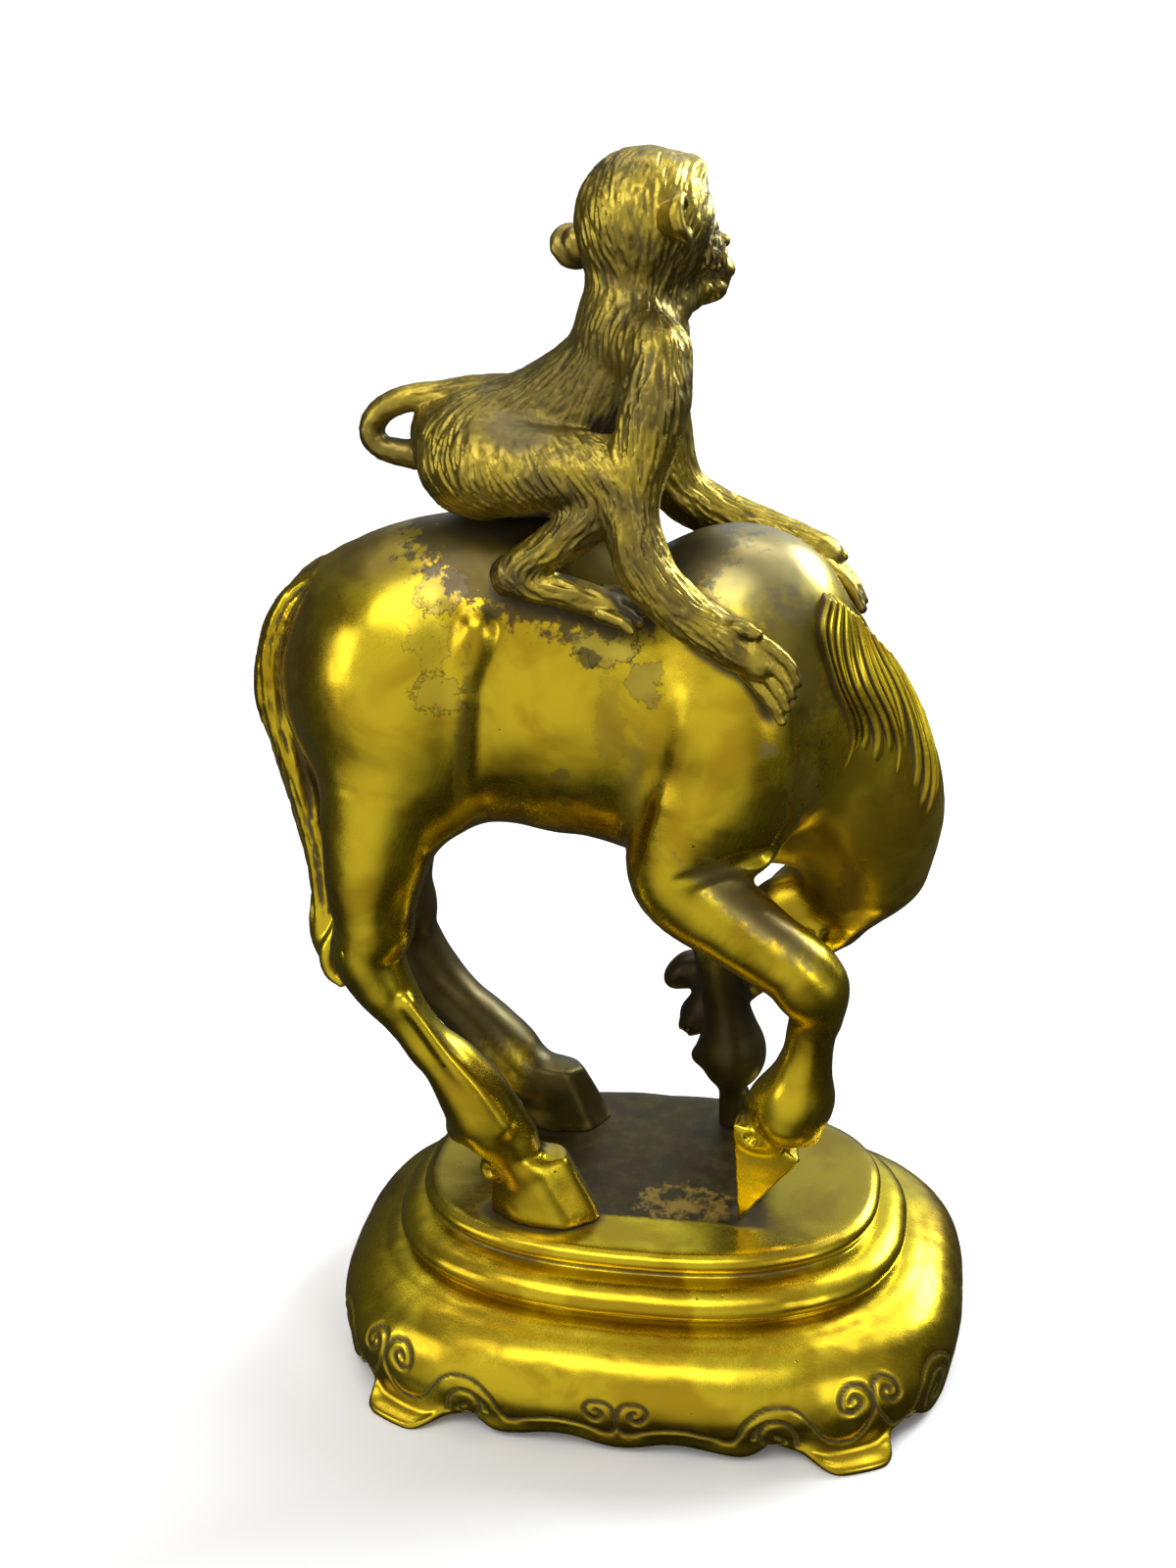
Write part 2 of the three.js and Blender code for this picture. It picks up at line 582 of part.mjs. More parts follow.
  // Hollows: flank, behind the shoulder, between shoulder and neck, the crease of the elbow
  for (const side of [-1, 1]) {
    clay.limb([[-24.5, side * 26, 199, 1], [-28.5, side * 27.6, 188, 1.9],
      [-30.2, side * 28.2, 175, 2.1], [-33, side * 27, 160, 2], [-36, side * 24, 147, 1.4]], 2, true);
    clay.limb([[14, side * 29, 186, 0.8], [9.5, side * 28.6, 173, 1.8], [5, side * 27, 159, 2],
      [2.5, side * 26, 148, 1.6]], 3, true);
  }
  clay.limb([[42, -23.5, 182, 1], [43.5, -21.5, 170, 2.4], [42, -21, 158, 3.4], [38, -22, 149, 3.4]],
    3, true);
  clay.limb([[14.5, -31.6, 145.2, 0.8], [21, -30.4, 146.2, 1.7], [28, -27.5, 147.6, 2.6],
    [34, -23, 148, 3.2]], 1.5, true);
  clay.limb([[43, 26, 182, 1], [44, 25, 168, 2], [42, 24, 154, 2.4]], 3, true);
  clay.floor(deckTop + gap);
  return clay;

}

// The horse's head, tucked back to the left with the jaw side up and the forehead down and forward
function shapeHorseHead(clay) {
  const on = placed(poll, headTurn);
  clay.ball(on(7, 0, 0.5), [14, 10.5, 12], headTurn, 6);
  clay.ball(on(18, 0, 3), [15, 9.5, 11], headTurn, 5);
  clay.limb([on(16, 0, -3).concat(8.5), on(34, 0, -3.2).concat(7.2), on(50, 0, -2).concat(6.6),
    on(66, 0, -2.5).concat(6.3)], 4);
  clay.limb([on(24, 0, 4).concat(8), on(40, 0, 4.6).concat(6), on(52, 0, 4).concat(5),
    on(64, 0, 5.5).concat(4.7)], 4);
  clay.ball(on(70, 0, -3), [8.8, 7.8, 6.2], headTurn, 3);
  clay.ball(on(67.5, 0, 9), [7.4, 6.2, 4.4], headTurn, 2);
  clay.ball(on(76, 0, 3.6), [10, 9, 1.1], headTurn, 0.8, true);
  for (const side of [-1, 1]) {
    // Cheek, the ridge of the face, nostril, eye with its lids, ear
    clay.ball(on(22, side * 7, 5), [11, 4.6, 9], headTurn, 3);
    clay.limb([on(26, side * 6.5, -5).concat(2), on(38, side * 5.8, -4).concat(1.6),
      on(48, side * 5.4, -3).concat(1.2)], 3);
    clay.ball(on(73, side * 5.8, -3.6), [4.4, 2.4, 3], headTurn, 1.5);
    clay.ball(on(75, side * 6.8, -4), [2.4, 2, 1.3], headTurn, 0.8, true);
    clay.ball(on(17.5, side * 8.2, -3.6), [5.2, 3, 3.8], headTurn, 2);
    clay.ball(on(17.8, side * 10.6, -3.6), [3.2, 1.6, 2.2], headTurn, 0.8, true);
    clay.ball(on(17.8, side * 9.6, -3.6), [2.6, 1.6, 1.9], headTurn, 0.5);
    clay.limb([on(-1, side * 7, -4).concat(3.6), on(-9, side * 11, -1).concat(3.2),
      on(-17, side * 12, 2).concat(1)], 1.5);
    clay.limb([on(-4, side * 10.5, -4).concat(1.4), on(-10, side * 13.2, -2.5).concat(1.5),
      on(-15, side * 14, 0).concat(0.5)], 1, true);
  }
}

// The monkey: trunk and haunches, folded legs, arms down on the horse's shoulders and a closed tail
function shapeMonkey(clay) {
  clay.limb([[3, 0, 266, 9], [1.5, 0, 254, 12.5], [-12, 0, 243.8, 13], [-29, 0, 237.6, 13.6]], 6);
  clay.limb([[0.5, 0, 263.5, 7.4], [-6.5, 0, 254.2, 7], [-18, 0, 245, 6.6]], 5);
  clay.ball([-41, 0, 240], [7.4, 8.5, 8], [0, 0, 0], 4);
  for (const side of [-1, 1]) {
    clay.ball([-31, side * 8, 236], [14, 11, 13.5], [0, 0, 0], 5);
    clay.limb([[-27, side * 12, 235.5, 11], [-11, side * 17, 235.5, 9.2], [3, side * 20, 236, 7.6]], 3);
    clay.limb([[2, side * 20.3, 234, 6.8], [-3, side * 21.2, 227.5, 5.6], [-11, side * 22, 221, 4.8],
      [-21.5, side * 22, 214.5, 4]], 2);
    clay.limb([[-22, side * 22, 213, 4.2], [-17, side * 22.2, 211.6, 3.7], [-9, side * 22.5, 210, 3.5],
      [0, side * 22.5, 207, 3.2]], 2);
    for (let toe = 0; toe < 4; toe++) {
      const spread = (toe - 1.5) * 2.3;
      const tip = 7.5 - 1.2 * Math.abs(toe - 1.3);
      clay.limb([[-1.5, side * (22.5 + spread * 0.8), 208 - spread * 0.5, 1.7],
        [3.5, side * (23 + spread), 206.8 - spread * 0.6, 1.5],
        [tip, side * (23.2 + spread * 1.1), 205 - spread * 0.6, 1.15]], 0.5);
    }
  }
  shapeMonkeyArms(clay);
  clay.limb([[-20, 0, 251.2, 1.2], [-30, 0, 251.2, 1.8], [-40, 0, 248.8, 2.8], [-48.5, 0, 247.6, 3],
    [-55, 0, 244.8, 3], [-57.8, 0, 240.2, 3], [-55.4, 0, 236.4, 3], [-48, 0, 234.8, 3.4]], 1);

  // Head and neck
  clay.limb([[2, 0, 264, 9.5], [4, 1.5, 276, 9.8]], 4);
  shapeMonkeyHead(clay);
  return clay;

}

// Upper arm, elbow, forearm and hand of each arm, the near one further down the horse's shoulder
function shapeMonkeyArms(clay) {
  clay.limb([[3, -6, 263, 8], [9, -12, 260.5, 7.6]], 5);
  clay.limb([[3, 6, 263, 8], [5.5, 11, 260, 8]], 5);
  clay.limb([[11.4, -16, 259.5, 6.9], [10.8, -20, 250.5, 7.3], [8, -22, 239.5, 6.3],
    [5.6, -24, 228, 5.9], [8.4, -25.5, 217.5, 6.2], [12.5, -26.5, 211.5, 5.8],
    [21.5, -27.5, 204.4, 5.3], [28, -28, 201, 5]], 3);
  clay.limb([[5.6, 13.5, 257, 6.9], [6, 16.5, 240, 6.6], [9, 18.7, 223, 6.4], [20, 20, 215.2, 5.8],
    [33.5, 19, 210.6, 5], [43, 18, 206.4, 4.8]], 3);
  clay.limb([[28, -28, 201, 4.9], [33.5, -28.9, 197.4, 4.4]], 2);
  for (let finger = 0; finger < 4; finger++) {
    const spread = (finger - 1.5) * 2.6;
    clay.limb([[32 + spread * 0.5, -29.8 - spread * 0.1, 199.1 + spread * 0.9, 1.9],
      [37.5 + spread * 0.45, -31.2, 194.2 + spread, 1.75],
      [39.6 + spread * 0.4, -31.3, 189.6 + spread, 1.4]], 0.5);
    clay.limb([[43, 17.5 + spread, 206.2, 1.9], [48.8, 15.5 + spread, 202.4 - finger % 2, 1.7],
      [52.2, 14.3 + spread, 196.8 - finger % 2, 1.35]], 0.5);
  }
  clay.limb([[24, -29.5, 204.2, 2.1], [29, -31.3, 205.6, 1.7], [33, -31.5, 204.6, 1.3]], 1);
  clay.limb([[38, 22, 209.6, 2.1], [43.5, 25, 207.8, 1.7], [47, 25.5, 204.4, 1.3]], 1);

}

// The monkey's head: round skull, brow ridge, short nose, pouting muzzle, chin and cup ears
function shapeMonkeyHead(clay) {
  const on = placed(skullPlace, gaze);
  clay.ball(on(0.7, -0.3, 0.4), [15, 14.6, 15], gaze, 5);
  clay.ball(on(12, 0, -7), [8, 7.4, 8], gaze, 4);
  clay.ball(on(18.2, 0, -9.4), [4.7, 6.3, 4], gaze, 2.5);
  clay.limb([on(12.5, 0, -14).concat(4), [8, 0, 266, 6]], 3);
  clay.ball(on(16.8, 0, -13.6), [4.4, 4.8, 2.5], gaze, 2);
  clay.limb([on(14.6, 0, 3).concat(1.8), on(17.6, 0, -0.4).concat(1.9), on(20.8, 0, -3.2).concat(1.8)],
    1.5);
  clay.ball(on(21.3, 0, -3.7), [2.2, 3.2, 1.8], gaze, 1);
  clay.limb([on(8.5, -9.8, 7.4).concat(1.9), on(11.8, -6, 9.6).concat(2.5), on(13.8, 0, 8).concat(1.9),
    on(11.8, 6, 9.6).concat(2.5), on(8.5, 9.8, 7.4).concat(1.9)], 2.5);
  clay.limb([on(20.4, -5.6, -11.7).concat(0.7), on(23.3, 0, -11.5).concat(0.8),
    on(20.4, 5.6, -11.7).concat(0.7)], 0.6, true);
  clay.limb([on(20.8, -4.4, -6.2).concat(0.7), on(22.8, 0, -6).concat(0.8),
    on(20.8, 4.4, -6.2).concat(0.7)], 0.8, true);
  for (const side of [-1, 1]) {
    clay.ball(on(15, side * 5, 2.2), [2.8, 3.3, 2.4], gaze, 1, true);
    clay.ball(on(11.4, side * 6.4, -4.2), [3.6, 2.6, 4], gaze, 2.5);
    // Ear: a bowl with a thick rim open to the front
    const rise = 1 + side;
    clay.ball(on(-5.4, side * 15.6, rise - 3.2), [3.2, 3.4, 4], gaze, 1.5);
    clay.limb([on(-2.4, side * 16, rise - 0.2).concat(1),
      on(-4.8, side * 17.8, rise + 0.7).concat(1.4), on(-7.2, side * 18.8, rise - 0.8).concat(1.6),
      on(-8, side * 18.6, rise - 3.4).concat(1.7), on(-6.8, side * 18, rise - 6).concat(1.6),
      on(-4.2, side * 16.8, rise - 7).concat(1.3), on(-2.2, side * 15.8, rise - 5.8).concat(1)], 1);
    clay.ball(on(-3.8, side * 18.5, rise - 3), [2.6, 3.2, 2.9], gaze, 0.8, true);
  }
}

// The plinth: one profile carried round a rounded oblong, hollow and open below, on four scroll feet
function shapePlinth() {
  const outline = (angle, inset, squareness) => {
    const long = bulgeLength - inset;
    const wide = bulgeWidth - inset;
    const c = Math.cos(angle);
    const s = Math.sin(angle);
    const r = (Math.abs(c / long) ** squareness + Math.abs(s / wide) ** squareness) ** (-1 / squareness);
    return [r * c, r * s];
  };
  // The hem: how far each place is from a corner decides foot, notch beside the foot and the lobes between
  const profile = (angle) => {
    const turn = Math.atan2(Math.abs(Math.sin(angle)), Math.abs(Math.cos(angle)));
    const away = turn - footTurn;
    const foot = Math.exp(-((Math.abs(away) / footReach) ** 6));
    const notch = Math.exp(-(((Math.abs(away) - footReach * 1.9) / 0.06) ** 2));
    const lobes = Math.cos((Math.abs(away) - lobeFrom) * (away < 0 ? endLobes : sideLobes));
    const low = (hemLevel - hemWave * lobes + 3.5 * notch) * (1 - foot);
    return [
      [24.4, deckTop, roundTop], [22.4, deckTop - 1.2, roundTop], [21.8, deckTop - 4, roundTop],
      [22.6, 38.2, roundTop], [22.6, 37, roundTop], [18.6, 36.4, roundTop], [15.8, 34.6, roundTop],
      [15, 32, roundTop], [16, 29.6, roundTop], [17.5, 28.9, roundTop], [13, 28.4, roundTop],
      [10.5, 27, roundTop], [4.8, 23.5, 2.6], [0.8, 18.5, 2.7], [0.2, 13.5, 2.8],
      [1.2 - foot, Math.max(low + 1, 7 - 3.5 * foot), 3], [2 - 6 * foot, low, 3.1],
      [2 + wallThickness, low, 3.1], [2 + wallThickness, Math.max(low + 1, 9), 3],
      [0.6 + wallThickness, 18, 2.7], [6 + wallThickness, 26, roundTop],
      [18 + wallThickness, deckTop - deckThickness - 8, roundTop],
      [25 + wallThickness, deckTop - deckThickness, roundTop],
    ];
  };
  const points = [];
  const faces = [];
  const rows = profile(0).length;
  for (let n = 0; n < plinthRings; n++) {
    const angle = (n / plinthRings) * 2 * Math.PI;
    for (const [inset, z, squareness] of profile(angle)) {
      points.push([...outline(angle, inset, squareness), z]);
    }
  }
  for (let n = 0; n < plinthRings; n++) {
    const next = ((n + 1) % plinthRings) * rows;
    for (let row = 0; row + 1 < rows; row++) {
      const [a, b, c, d] = [n * rows + row, n * rows + row + 1, next + row + 1, next + row];
      faces.push([a, b, c], [a, c, d]);
    }
    faces.push([n * rows, next, points.length]);
    faces.push([n * rows + rows - 1, points.length + 1, next + rows - 1]);
  }
  points.push([0, 0, deckTop], [0, 0, deckTop - deckThickness]);
  return { points, faces };
}

// The largest connected piece of a skin, without loose crumbs
function largest({ points, faces }) {
  const leader = points.map((_, n) => n);
  const find = (n) => {
    while (leader[n] !== n) {
      leader[n] = leader[leader[n]];
      n = leader[n];
    }
    return n;
  };
  faces.forEach(([a, b, c]) => {
    leader[find(a)] = find(b);
    leader[find(b)] = find(c);
  });
  const sizes = new Map();
  faces.forEach(([a]) => sizes.set(find(a), (sizes.get(find(a)) ?? 0) + 1));
  const [chosen] = [...sizes.entries()].sort((one, two) => two[1] - one[1])[0];
  return { points, faces: faces.filter(([a]) => find(a) === chosen) };
}

// Brings every vertex close to one of the level planes exactly onto it
function level({ points, faces }, heights) {
  points.forEach((point) => {
    const height = heights.find((z) => Math.abs(point[2] - z) < 0.25);
    point[2] = height === undefined ? point[2] : height;
  });
  return { points, faces };
}

function solid(name, { points, faces }, color, roughness) {
  const shape = new THREE.BufferGeometry();
  shape.setAttribute('position', new THREE.Float32BufferAttribute(points.flat(), 3));
  shape.translate(...centring);
  shape.setIndex(faces.flat());
  shape.computeVertexNormals();
  const mesh = new THREE.Mesh(shape, new THREE.MeshStandardMaterial({ color, roughness, metalness: 1 }));
  mesh.name = name;
  return mesh;
}

const horseClay = shapeHorse(new Clay([-97, -44, 41], [80, 52, 226], clayStep));
const monkeyClay = shapeMonkey(new Clay([-64, -38, 184], [58, 36, 304], fineStep));
monkeyClay.clear(horseClay, gap + 0.2);
const plinth = level(thin(shapePlinth(), plinthFaces), [0, deckTop]);
const horse = level(thin(largest(horseClay.skin()), horseFaces), [deckTop + gap]);
const monkey = thin(largest(monkeyClay.skin()), monkeyFaces);

const statue = new THREE.Group();
statue.name = 'monkey_on_horse';
statue.add(solid('plinth', plinth, 0xa58a2c, 0.3));
statue.add(solid('horse', horse, 0xa8891f, 0.28));
statue.add(solid('monkey', monkey, 0x7a6526, 0.42));
export default statue;
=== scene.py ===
"""The looks of a cast bronze statuette: a monkey crouching on a bowing horse, on a stepped oblong
plinth. Lengths in the shapes are millimetres, measured from the middle of the plinth at table level: +X
the way the horse's body faces, +Y its left side, +Z up. They are moved onto the frame and scaled to
metres in one place."""
import math

import bpy
import numpy as np
from mathutils import Matrix, Vector


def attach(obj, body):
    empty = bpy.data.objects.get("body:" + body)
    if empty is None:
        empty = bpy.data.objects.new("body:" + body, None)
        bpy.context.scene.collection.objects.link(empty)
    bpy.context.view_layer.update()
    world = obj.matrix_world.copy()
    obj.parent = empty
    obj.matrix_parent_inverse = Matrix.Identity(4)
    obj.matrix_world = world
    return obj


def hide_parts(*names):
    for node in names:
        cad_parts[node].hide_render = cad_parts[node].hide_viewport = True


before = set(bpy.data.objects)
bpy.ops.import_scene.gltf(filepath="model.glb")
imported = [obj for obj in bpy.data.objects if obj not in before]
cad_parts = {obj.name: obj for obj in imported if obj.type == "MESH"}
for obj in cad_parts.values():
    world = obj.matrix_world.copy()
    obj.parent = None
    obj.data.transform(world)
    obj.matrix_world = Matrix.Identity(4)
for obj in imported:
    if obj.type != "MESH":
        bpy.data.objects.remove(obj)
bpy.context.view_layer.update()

# Driving sizes
MILLIMETRE = 0.001
CENTRING = 6.09
DECK_TOP = 44.0
BULGE_LENGTH = 82.0
BULGE_WIDTH = 59.0
WALL = 3.2
DECK_THICKNESS = 4.0
HEM_LEVEL = 2.6
HEM_WAVE = 1.2
LOBE_FROM = 0.312
SIDE_LOBES = 12.2
END_LOBES = 14.6
FOOT_TURN = math.atan2(55.5, 60.4)
FOOT_REACH = 0.12
POLL = (53, 16.5, 124.5)
HEAD_TURN = (155, 46, 0)
SKULL = (5.2, 3, 284.4)
GAZE = (52, 7, -17)
HORSE_STEP = 0.66
MONKEY_STEP = 0.5
MOST_TRIANGLES = 196000
SOLE = 43
FUR_CELL = 0.55
FUR_LENGTH = 3.6
FUR_RELIEF = 0.27
HAIR_CELL = 1.0
HAIR_LENGTH = 14
HAIR_RELIEF = 0.42
MANE_STRANDS = 12
SCROLL_RELIEF = 0.6
SCROLL_SPREAD = 0.24
SCROLL_CORNER = 64

# Colours, as red, green, blue and opacity
GOLD = [0.6, 0.455, 0.02, 1]
BROWN_GOLD = [0.43, 0.29, 0.012, 1]
DARK = [0.045, 0.033, 0.014, 1]
RIM = [0.07, 0.045, 0.015, 1]
LILAC = [0.13, 0.11, 0.08, 1]
GREY_BROWN = [0.13, 0.105, 0.06, 1]
# Painted shade, dark brown
PAINTED_SHADE_BROWN = [0.035, 0.026, 0.01, 1]
MONKEY_GOLD = [0.4, 0.3, 0.04, 1]
MONKEY_SHADE = [0.2, 0.15, 0.035, 1]
MONKEY_DARK = [0.035, 0.028, 0.012, 1]
DECK_DARK = [0.014, 0.01, 0.004, 1]
DECK_BROWN = [0.042, 0.029, 0.009, 1]
DECK_DULL = [0.16, 0.115, 0.03, 1]
DECK_BARE = [0.3, 0.19, 0.025, 1]
PIT = [0.02, 0.014, 0.006, 1]
# Painted reflection, silvery grey
PAINTED_REFLECTION_GREY = [0.26, 0.24, 0.16, 1]
CHESTNUT = [0.3, 0.2, 0.01, 1]
OLIVE = [0.2, 0.17, 0.06, 1]
RUST = [0.24, 0.16, 0.02, 1]
TORSO_BROWN = [0.1, 0.078, 0.022, 1]


def axes_of(turn):
    """Forward, left and up axes of a frame turned by yaw about Z, pitch about its Y and roll about its
    X, in degrees."""
    a, b, c = (math.radians(angle) for angle in turn)
    ca, sa, cb, sb, cc, sc = math.cos(a), math.sin(a), math.cos(b), math.sin(b), math.cos(c), math.sin(c)
    return np.array([
        [ca * cb, sa * cb, -sb],
        [ca * sb * sc - sa * cc, sa * sb * sc + ca * cc, cb * sc],
        [ca * sb * cc + sa * sc, sa * sb * cc - ca * sc, cb * cc],
    ])


def placed(origin, turn):
    """A function that takes forward, left and up lengths in a turned frame to x, y, z."""
    axes = axes_of(turn)
    return lambda forward, left, up: tuple(np.array(origin) + np.array([forward, left, up]) @ axes)


def curve(p0, p1, p2, p3, t):
    """The Catmull-Rom curve from the second of four points to the third, at shares t of the way."""
    square, cube = 2 * p0 - 5 * p1 + 4 * p2 - p3, 3 * p1 - p0 - 3 * p2 + p3
    return 0.5 * (2 * p1 + (p2 - p0) * t + square * t**2 + cube * t**3)


def flowing(stations, parts=9):
    """Catmull-Rom curve through stations (x, y, z, radius), with each span cut into equal parts."""
    s = np.array(stations, float)
    if len(s) < 3:
        return s
    ends = np.vstack([2 * s[0] - s[1], s, 2 * s[-1] - s[-2]])
    t = (np.arange(parts) / parts)[None, :, None]
    p0, p1, p2, p3 = (ends[n:len(s) - 1 + n, None, :] for n in range(4))
    return np.vstack([curve(p0, p1, p2, p3, t).reshape(-1, 4), s[-1:]])


def corners_of_cell(t):
    """Each corner of a cell with its weight for points at shares t of the way across the cell."""
    for a in (0, 1):
        for b in (0, 1):
            for c in (0, 1):
                share = [t[:, n] if corner else 1 - t[:, n] for n, corner in enumerate((a, b, c))]
                yield a, b, c, share[0] * share[1] * share[2]


class Clay:
    """Signed distances on an even grid: lengths and ellipsoids are joined or carved with rounded
    seams."""

    def __init__(self, low, high, step, reach=2.0):
        self.low = np.array(low, np.float32)
        self.step = step
        self.reach = reach
        self.axes = [np.arange(a, b + step, step, dtype=np.float32) for a, b in zip(low, high)]
        self.field = np.full([len(axis) for axis in self.axes], 60, np.float32)

    def window(self, low, high):
        """The part of the grid between two corners: its slices, and its coordinates ready to combine."""
        cut = tuple(slice(*np.searchsorted(axis, (a, b))) for axis, a, b in zip(self.axes, low, high))
        x, y, z = (axis[part] for axis, part in zip(self.axes, cut))
        return cut, x[:, None, None], y[None, :, None], z[None, None, :]

    def join(self, cut, new, blend, carve):
        """The smaller of two distances, less the squared overlap of the seam over four times its
        width."""
        now = -self.field[cut] if carve else self.field[cut]
        near = np.maximum(blend - np.abs(now - new), 0)
        joined = np.minimum(now, new) - near * near / (4 * blend)
        self.field[cut] = -joined if carve else joined

    def limb(self, stations, blend=3.0, carve=False):
        """A smooth chain of round tapering lengths: distance to the nearest point of each, less its
        radius there."""
        chain = flowing(stations)
        margin = chain[:, 3:].max() + blend + self.reach
        cut, x, y, z = self.window(chain[:, :3].min(0) - margin, chain[:, :3].max(0) + margin)
        new = np.full(np.broadcast_shapes(x.shape, y.shape, z.shape), 60, np.float32)
        for a, b in zip(chain[:-1], chain[1:]):
            reach = max(a[3], b[3]) + blend + self.reach
            part, px, py, pz = self.window(np.minimum(a, b)[:3] - reach, np.maximum(a, b)[:3] + reach)
            inner = tuple(slice(p.start - c.start, p.stop - c.start) for p, c in zip(part, cut))
            d = (b - a).astype(np.float32)
            px, py, pz = px - a[0], py - a[1], pz - a[2]
            along = np.clip((px * d[0] + py * d[1] + pz * d[2]) / (d[:3] @ d[:3]), 0, 1)
            away = np.sqrt((px - along * d[0]) ** 2 + (py - along * d[1]) ** 2 + (pz - along * d[2]) ** 2)
            new[inner] = np.minimum(new[inner], away - a[3] - along * d[3])
        self.join(cut, new, blend, carve)

    def ball(self, centre, radii, turn=(0, 0, 0), blend=6.0, carve=False):
        """A turned ellipsoid: distance about k0 (k0 - 1) / k1, with k0 and k1 the lengths over the
        radii and their squares."""
        centre = np.array(centre, float)
        margin = max(radii) + blend + self.reach
        cut, x, y, z = self.window(centre - margin, centre + margin)
        p = (x - centre[0], y - centre[1], z - centre[2])
        q = [(axis[0] * p[0] + axis[1] * p[1] + axis[2] * p[2]) / radius for axis,
             radius in zip(axes_of(turn), radii)]
        k0 = np.sqrt(q[0] ** 2 + q[1] ** 2 + q[2] ** 2)
        k1 = np.sqrt(sum((value / radius) ** 2 for value, radius in zip(q, radii)))
        self.join(cut, (k0 * (k0 - 1) / np.maximum(k1, 1e-6)).astype(np.float32), blend, carve)

    def block(self, foot, crown, blend=1.5, edge=0.8):
        """A solid with flat sides: the greatest distance outside the planes through both rings of
        corners and through each side between them, with rounded edges."""
        foot, crown = np.array(foot, float), np.array(crown, float)
        corners = np.vstack([foot, crown])
        planes = [(np.cross(ring - ring[0], np.roll(ring, -1, 0) - ring[0]).sum(0), ring.mean(0))
                  for ring in (foot, crown)]
        for a, b, c, d in zip(foot, np.roll(foot, -1, 0), crown, np.roll(crown, -1, 0)):
            planes.append((np.cross(b - a, c + d - a - b), (a + b + c + d) / 4))
        cut, x, y, z = self.window(corners.min(0) - blend - self.reach, corners.max(0) + blend + self.reach)
        new = np.full(np.broadcast_shapes(x.shape, y.shape, z.shape), -60, np.float32)
        for slope, place in planes:
            slope = slope / np.linalg.norm(slope) * (-1 if slope @ (corners.mean(0) - place) > 0 else 1)
            side = (x - place[0]) * slope[0] + (y - place[1]) * slope[1] + (z - place[2]) * slope[2]
            new = np.maximum(new, side) + np.maximum(edge - np.abs(new - side), 0) ** 2 / (4 * edge)
        self.join(cut, new.astype(np.float32), blend, False)

    def floor(self, level):
        """Takes away all that is lower than a level."""
        self.field = np.maximum(self.field, level - self.axes[2][None, None, :])

    def clear(self, other, distance):
        """Takes away all that is closer to another piece of clay than a distance."""
        near = np.argwhere(self.field < 3)
        places = self.low + near * np.float32(self.step)
        near = tuple(near.T)
        self.field[near] = np.maximum(self.field[near], distance - other.at(places))

    def at(self, points):
        """The distance at any points, from the eight grid values around each."""
        g = (points - self.low) / self.step
        top = np.array(self.field.shape) - 1.001
        g = np.clip(g, 0, top)
        base = g.astype(np.int32)
        t = (g - base).astype(np.float32)
        total = np.zeros(len(points), np.float32)
        for a, b, c, weight in corners_of_cell(t):
            total += weight * self.field[base[:, 0] + a, base[:, 1] + b, base[:, 2] + c]
        return total

    def outward(self, points, span=None):
        """Unit direction in which the distance grows, from its differences along X, Y and Z."""
        span = span or self.step
        slope = np.empty((len(points), 3), np.float32)
        for axis in range(3):
            shift = np.zeros(3, np.float32)
            shift[axis] = span
            slope[:, axis] = self.at(points + shift) - self.at(points - shift)
        return slope / np.maximum(np.linalg.norm(slope, axis=1, keepdims=True), 1e-9)

    def skin(self):
        """The surface at distance zero: a vertex for each crossed cell, at the mean of the crossings on
        its edges, and a quad for each crossed grid edge; the vertices are then moved onto the surface
        along its slope."""
        f = self.field
        inside = f < 0
        n = np.array(f.shape) - 1
        corners = [(a, b, c) for a in (0, 1) for b in (0, 1) for c in (0, 1)]
        held = sum(inside[a:a + n[0], b:b + n[1], c:c + n[2]].astype(np.uint8) for a, b, c in corners)
        crossed = (held > 0) & (held < 8)
        cells = np.argwhere(crossed)
        number = np.full(crossed.shape, -1, np.int32)
        number[crossed] = np.arange(len(cells))
        places = np.zeros((len(cells), 3))
        hits = np.zeros(len(cells))
        for corner in corners:
            for axis in range(3):
                if corner[axis]:
                    continue
                start = cells + np.array(corner)
                end = start.copy()
                end[:, axis] += 1
                fa, fb = f[tuple(start.T)], f[tuple(end.T)]
                cross = (fa < 0) != (fb < 0)
                place = start.astype(float)
                place[:, axis] += np.where(cross, fa / np.where(cross, fa - fb, 1), 0)
                places += place * cross[:, None]
                hits += cross
        points = (self.low + self.step * places / hits[:, None]).astype(np.float32)
        quads = []
        for axis in range(3):
            u, v = (axis + 1) % 3, (axis + 2) % 3
            lower = [slice(1, n[0]), slice(1, n[1]), slice(1, n[2])]
            upper = list(lower)
            lower[axis], upper[axis] = slice(0, n[axis]), slice(1, n[axis] + 1)
            a, b = inside[tuple(lower)], inside[tuple(upper)]
            edges = np.argwhere(a != b)
            out = a[tuple(edges.T)]
            shift = np.ones(3, int)
            shift[axis] = 0
            edges = edges + shift
            ring = []
            for du, dv in ((1, 1), (0, 1), (0, 0), (1, 0)):
                cell = edges.copy()
                cell[:, u] -= du
                cell[:, v] -= dv
                ring.append(number[tuple(cell.T)])
            quad = np.stack(ring, 1)
            quads.append(np.where(out[:, None], quad, quad[:, ::-1]))
        quads = np.vstack(quads)
        for _ in range(2):
            points = points - self.outward(points) * np.clip(self.at(points), -0.5, 0.5)[:, None]
        return largest(points, quads)


class TurnedClay:
    """The same clay, worked in a turned frame of forward, left and up lengths from an origin."""

    def __init__(self, clay, origin, turn):
        self.clay = clay
        self.on = placed(origin, turn)
        self.turn = turn

    def limb(self, stations, blend=3.0, carve=False):
        self.clay.limb([self.on(*station[:3]) + station[3:] for station in stations], blend, carve)

    def ball(self, centre, radii, blend, carve=False):
        self.clay.ball(self.on(*centre), radii, self.turn, blend, carve)


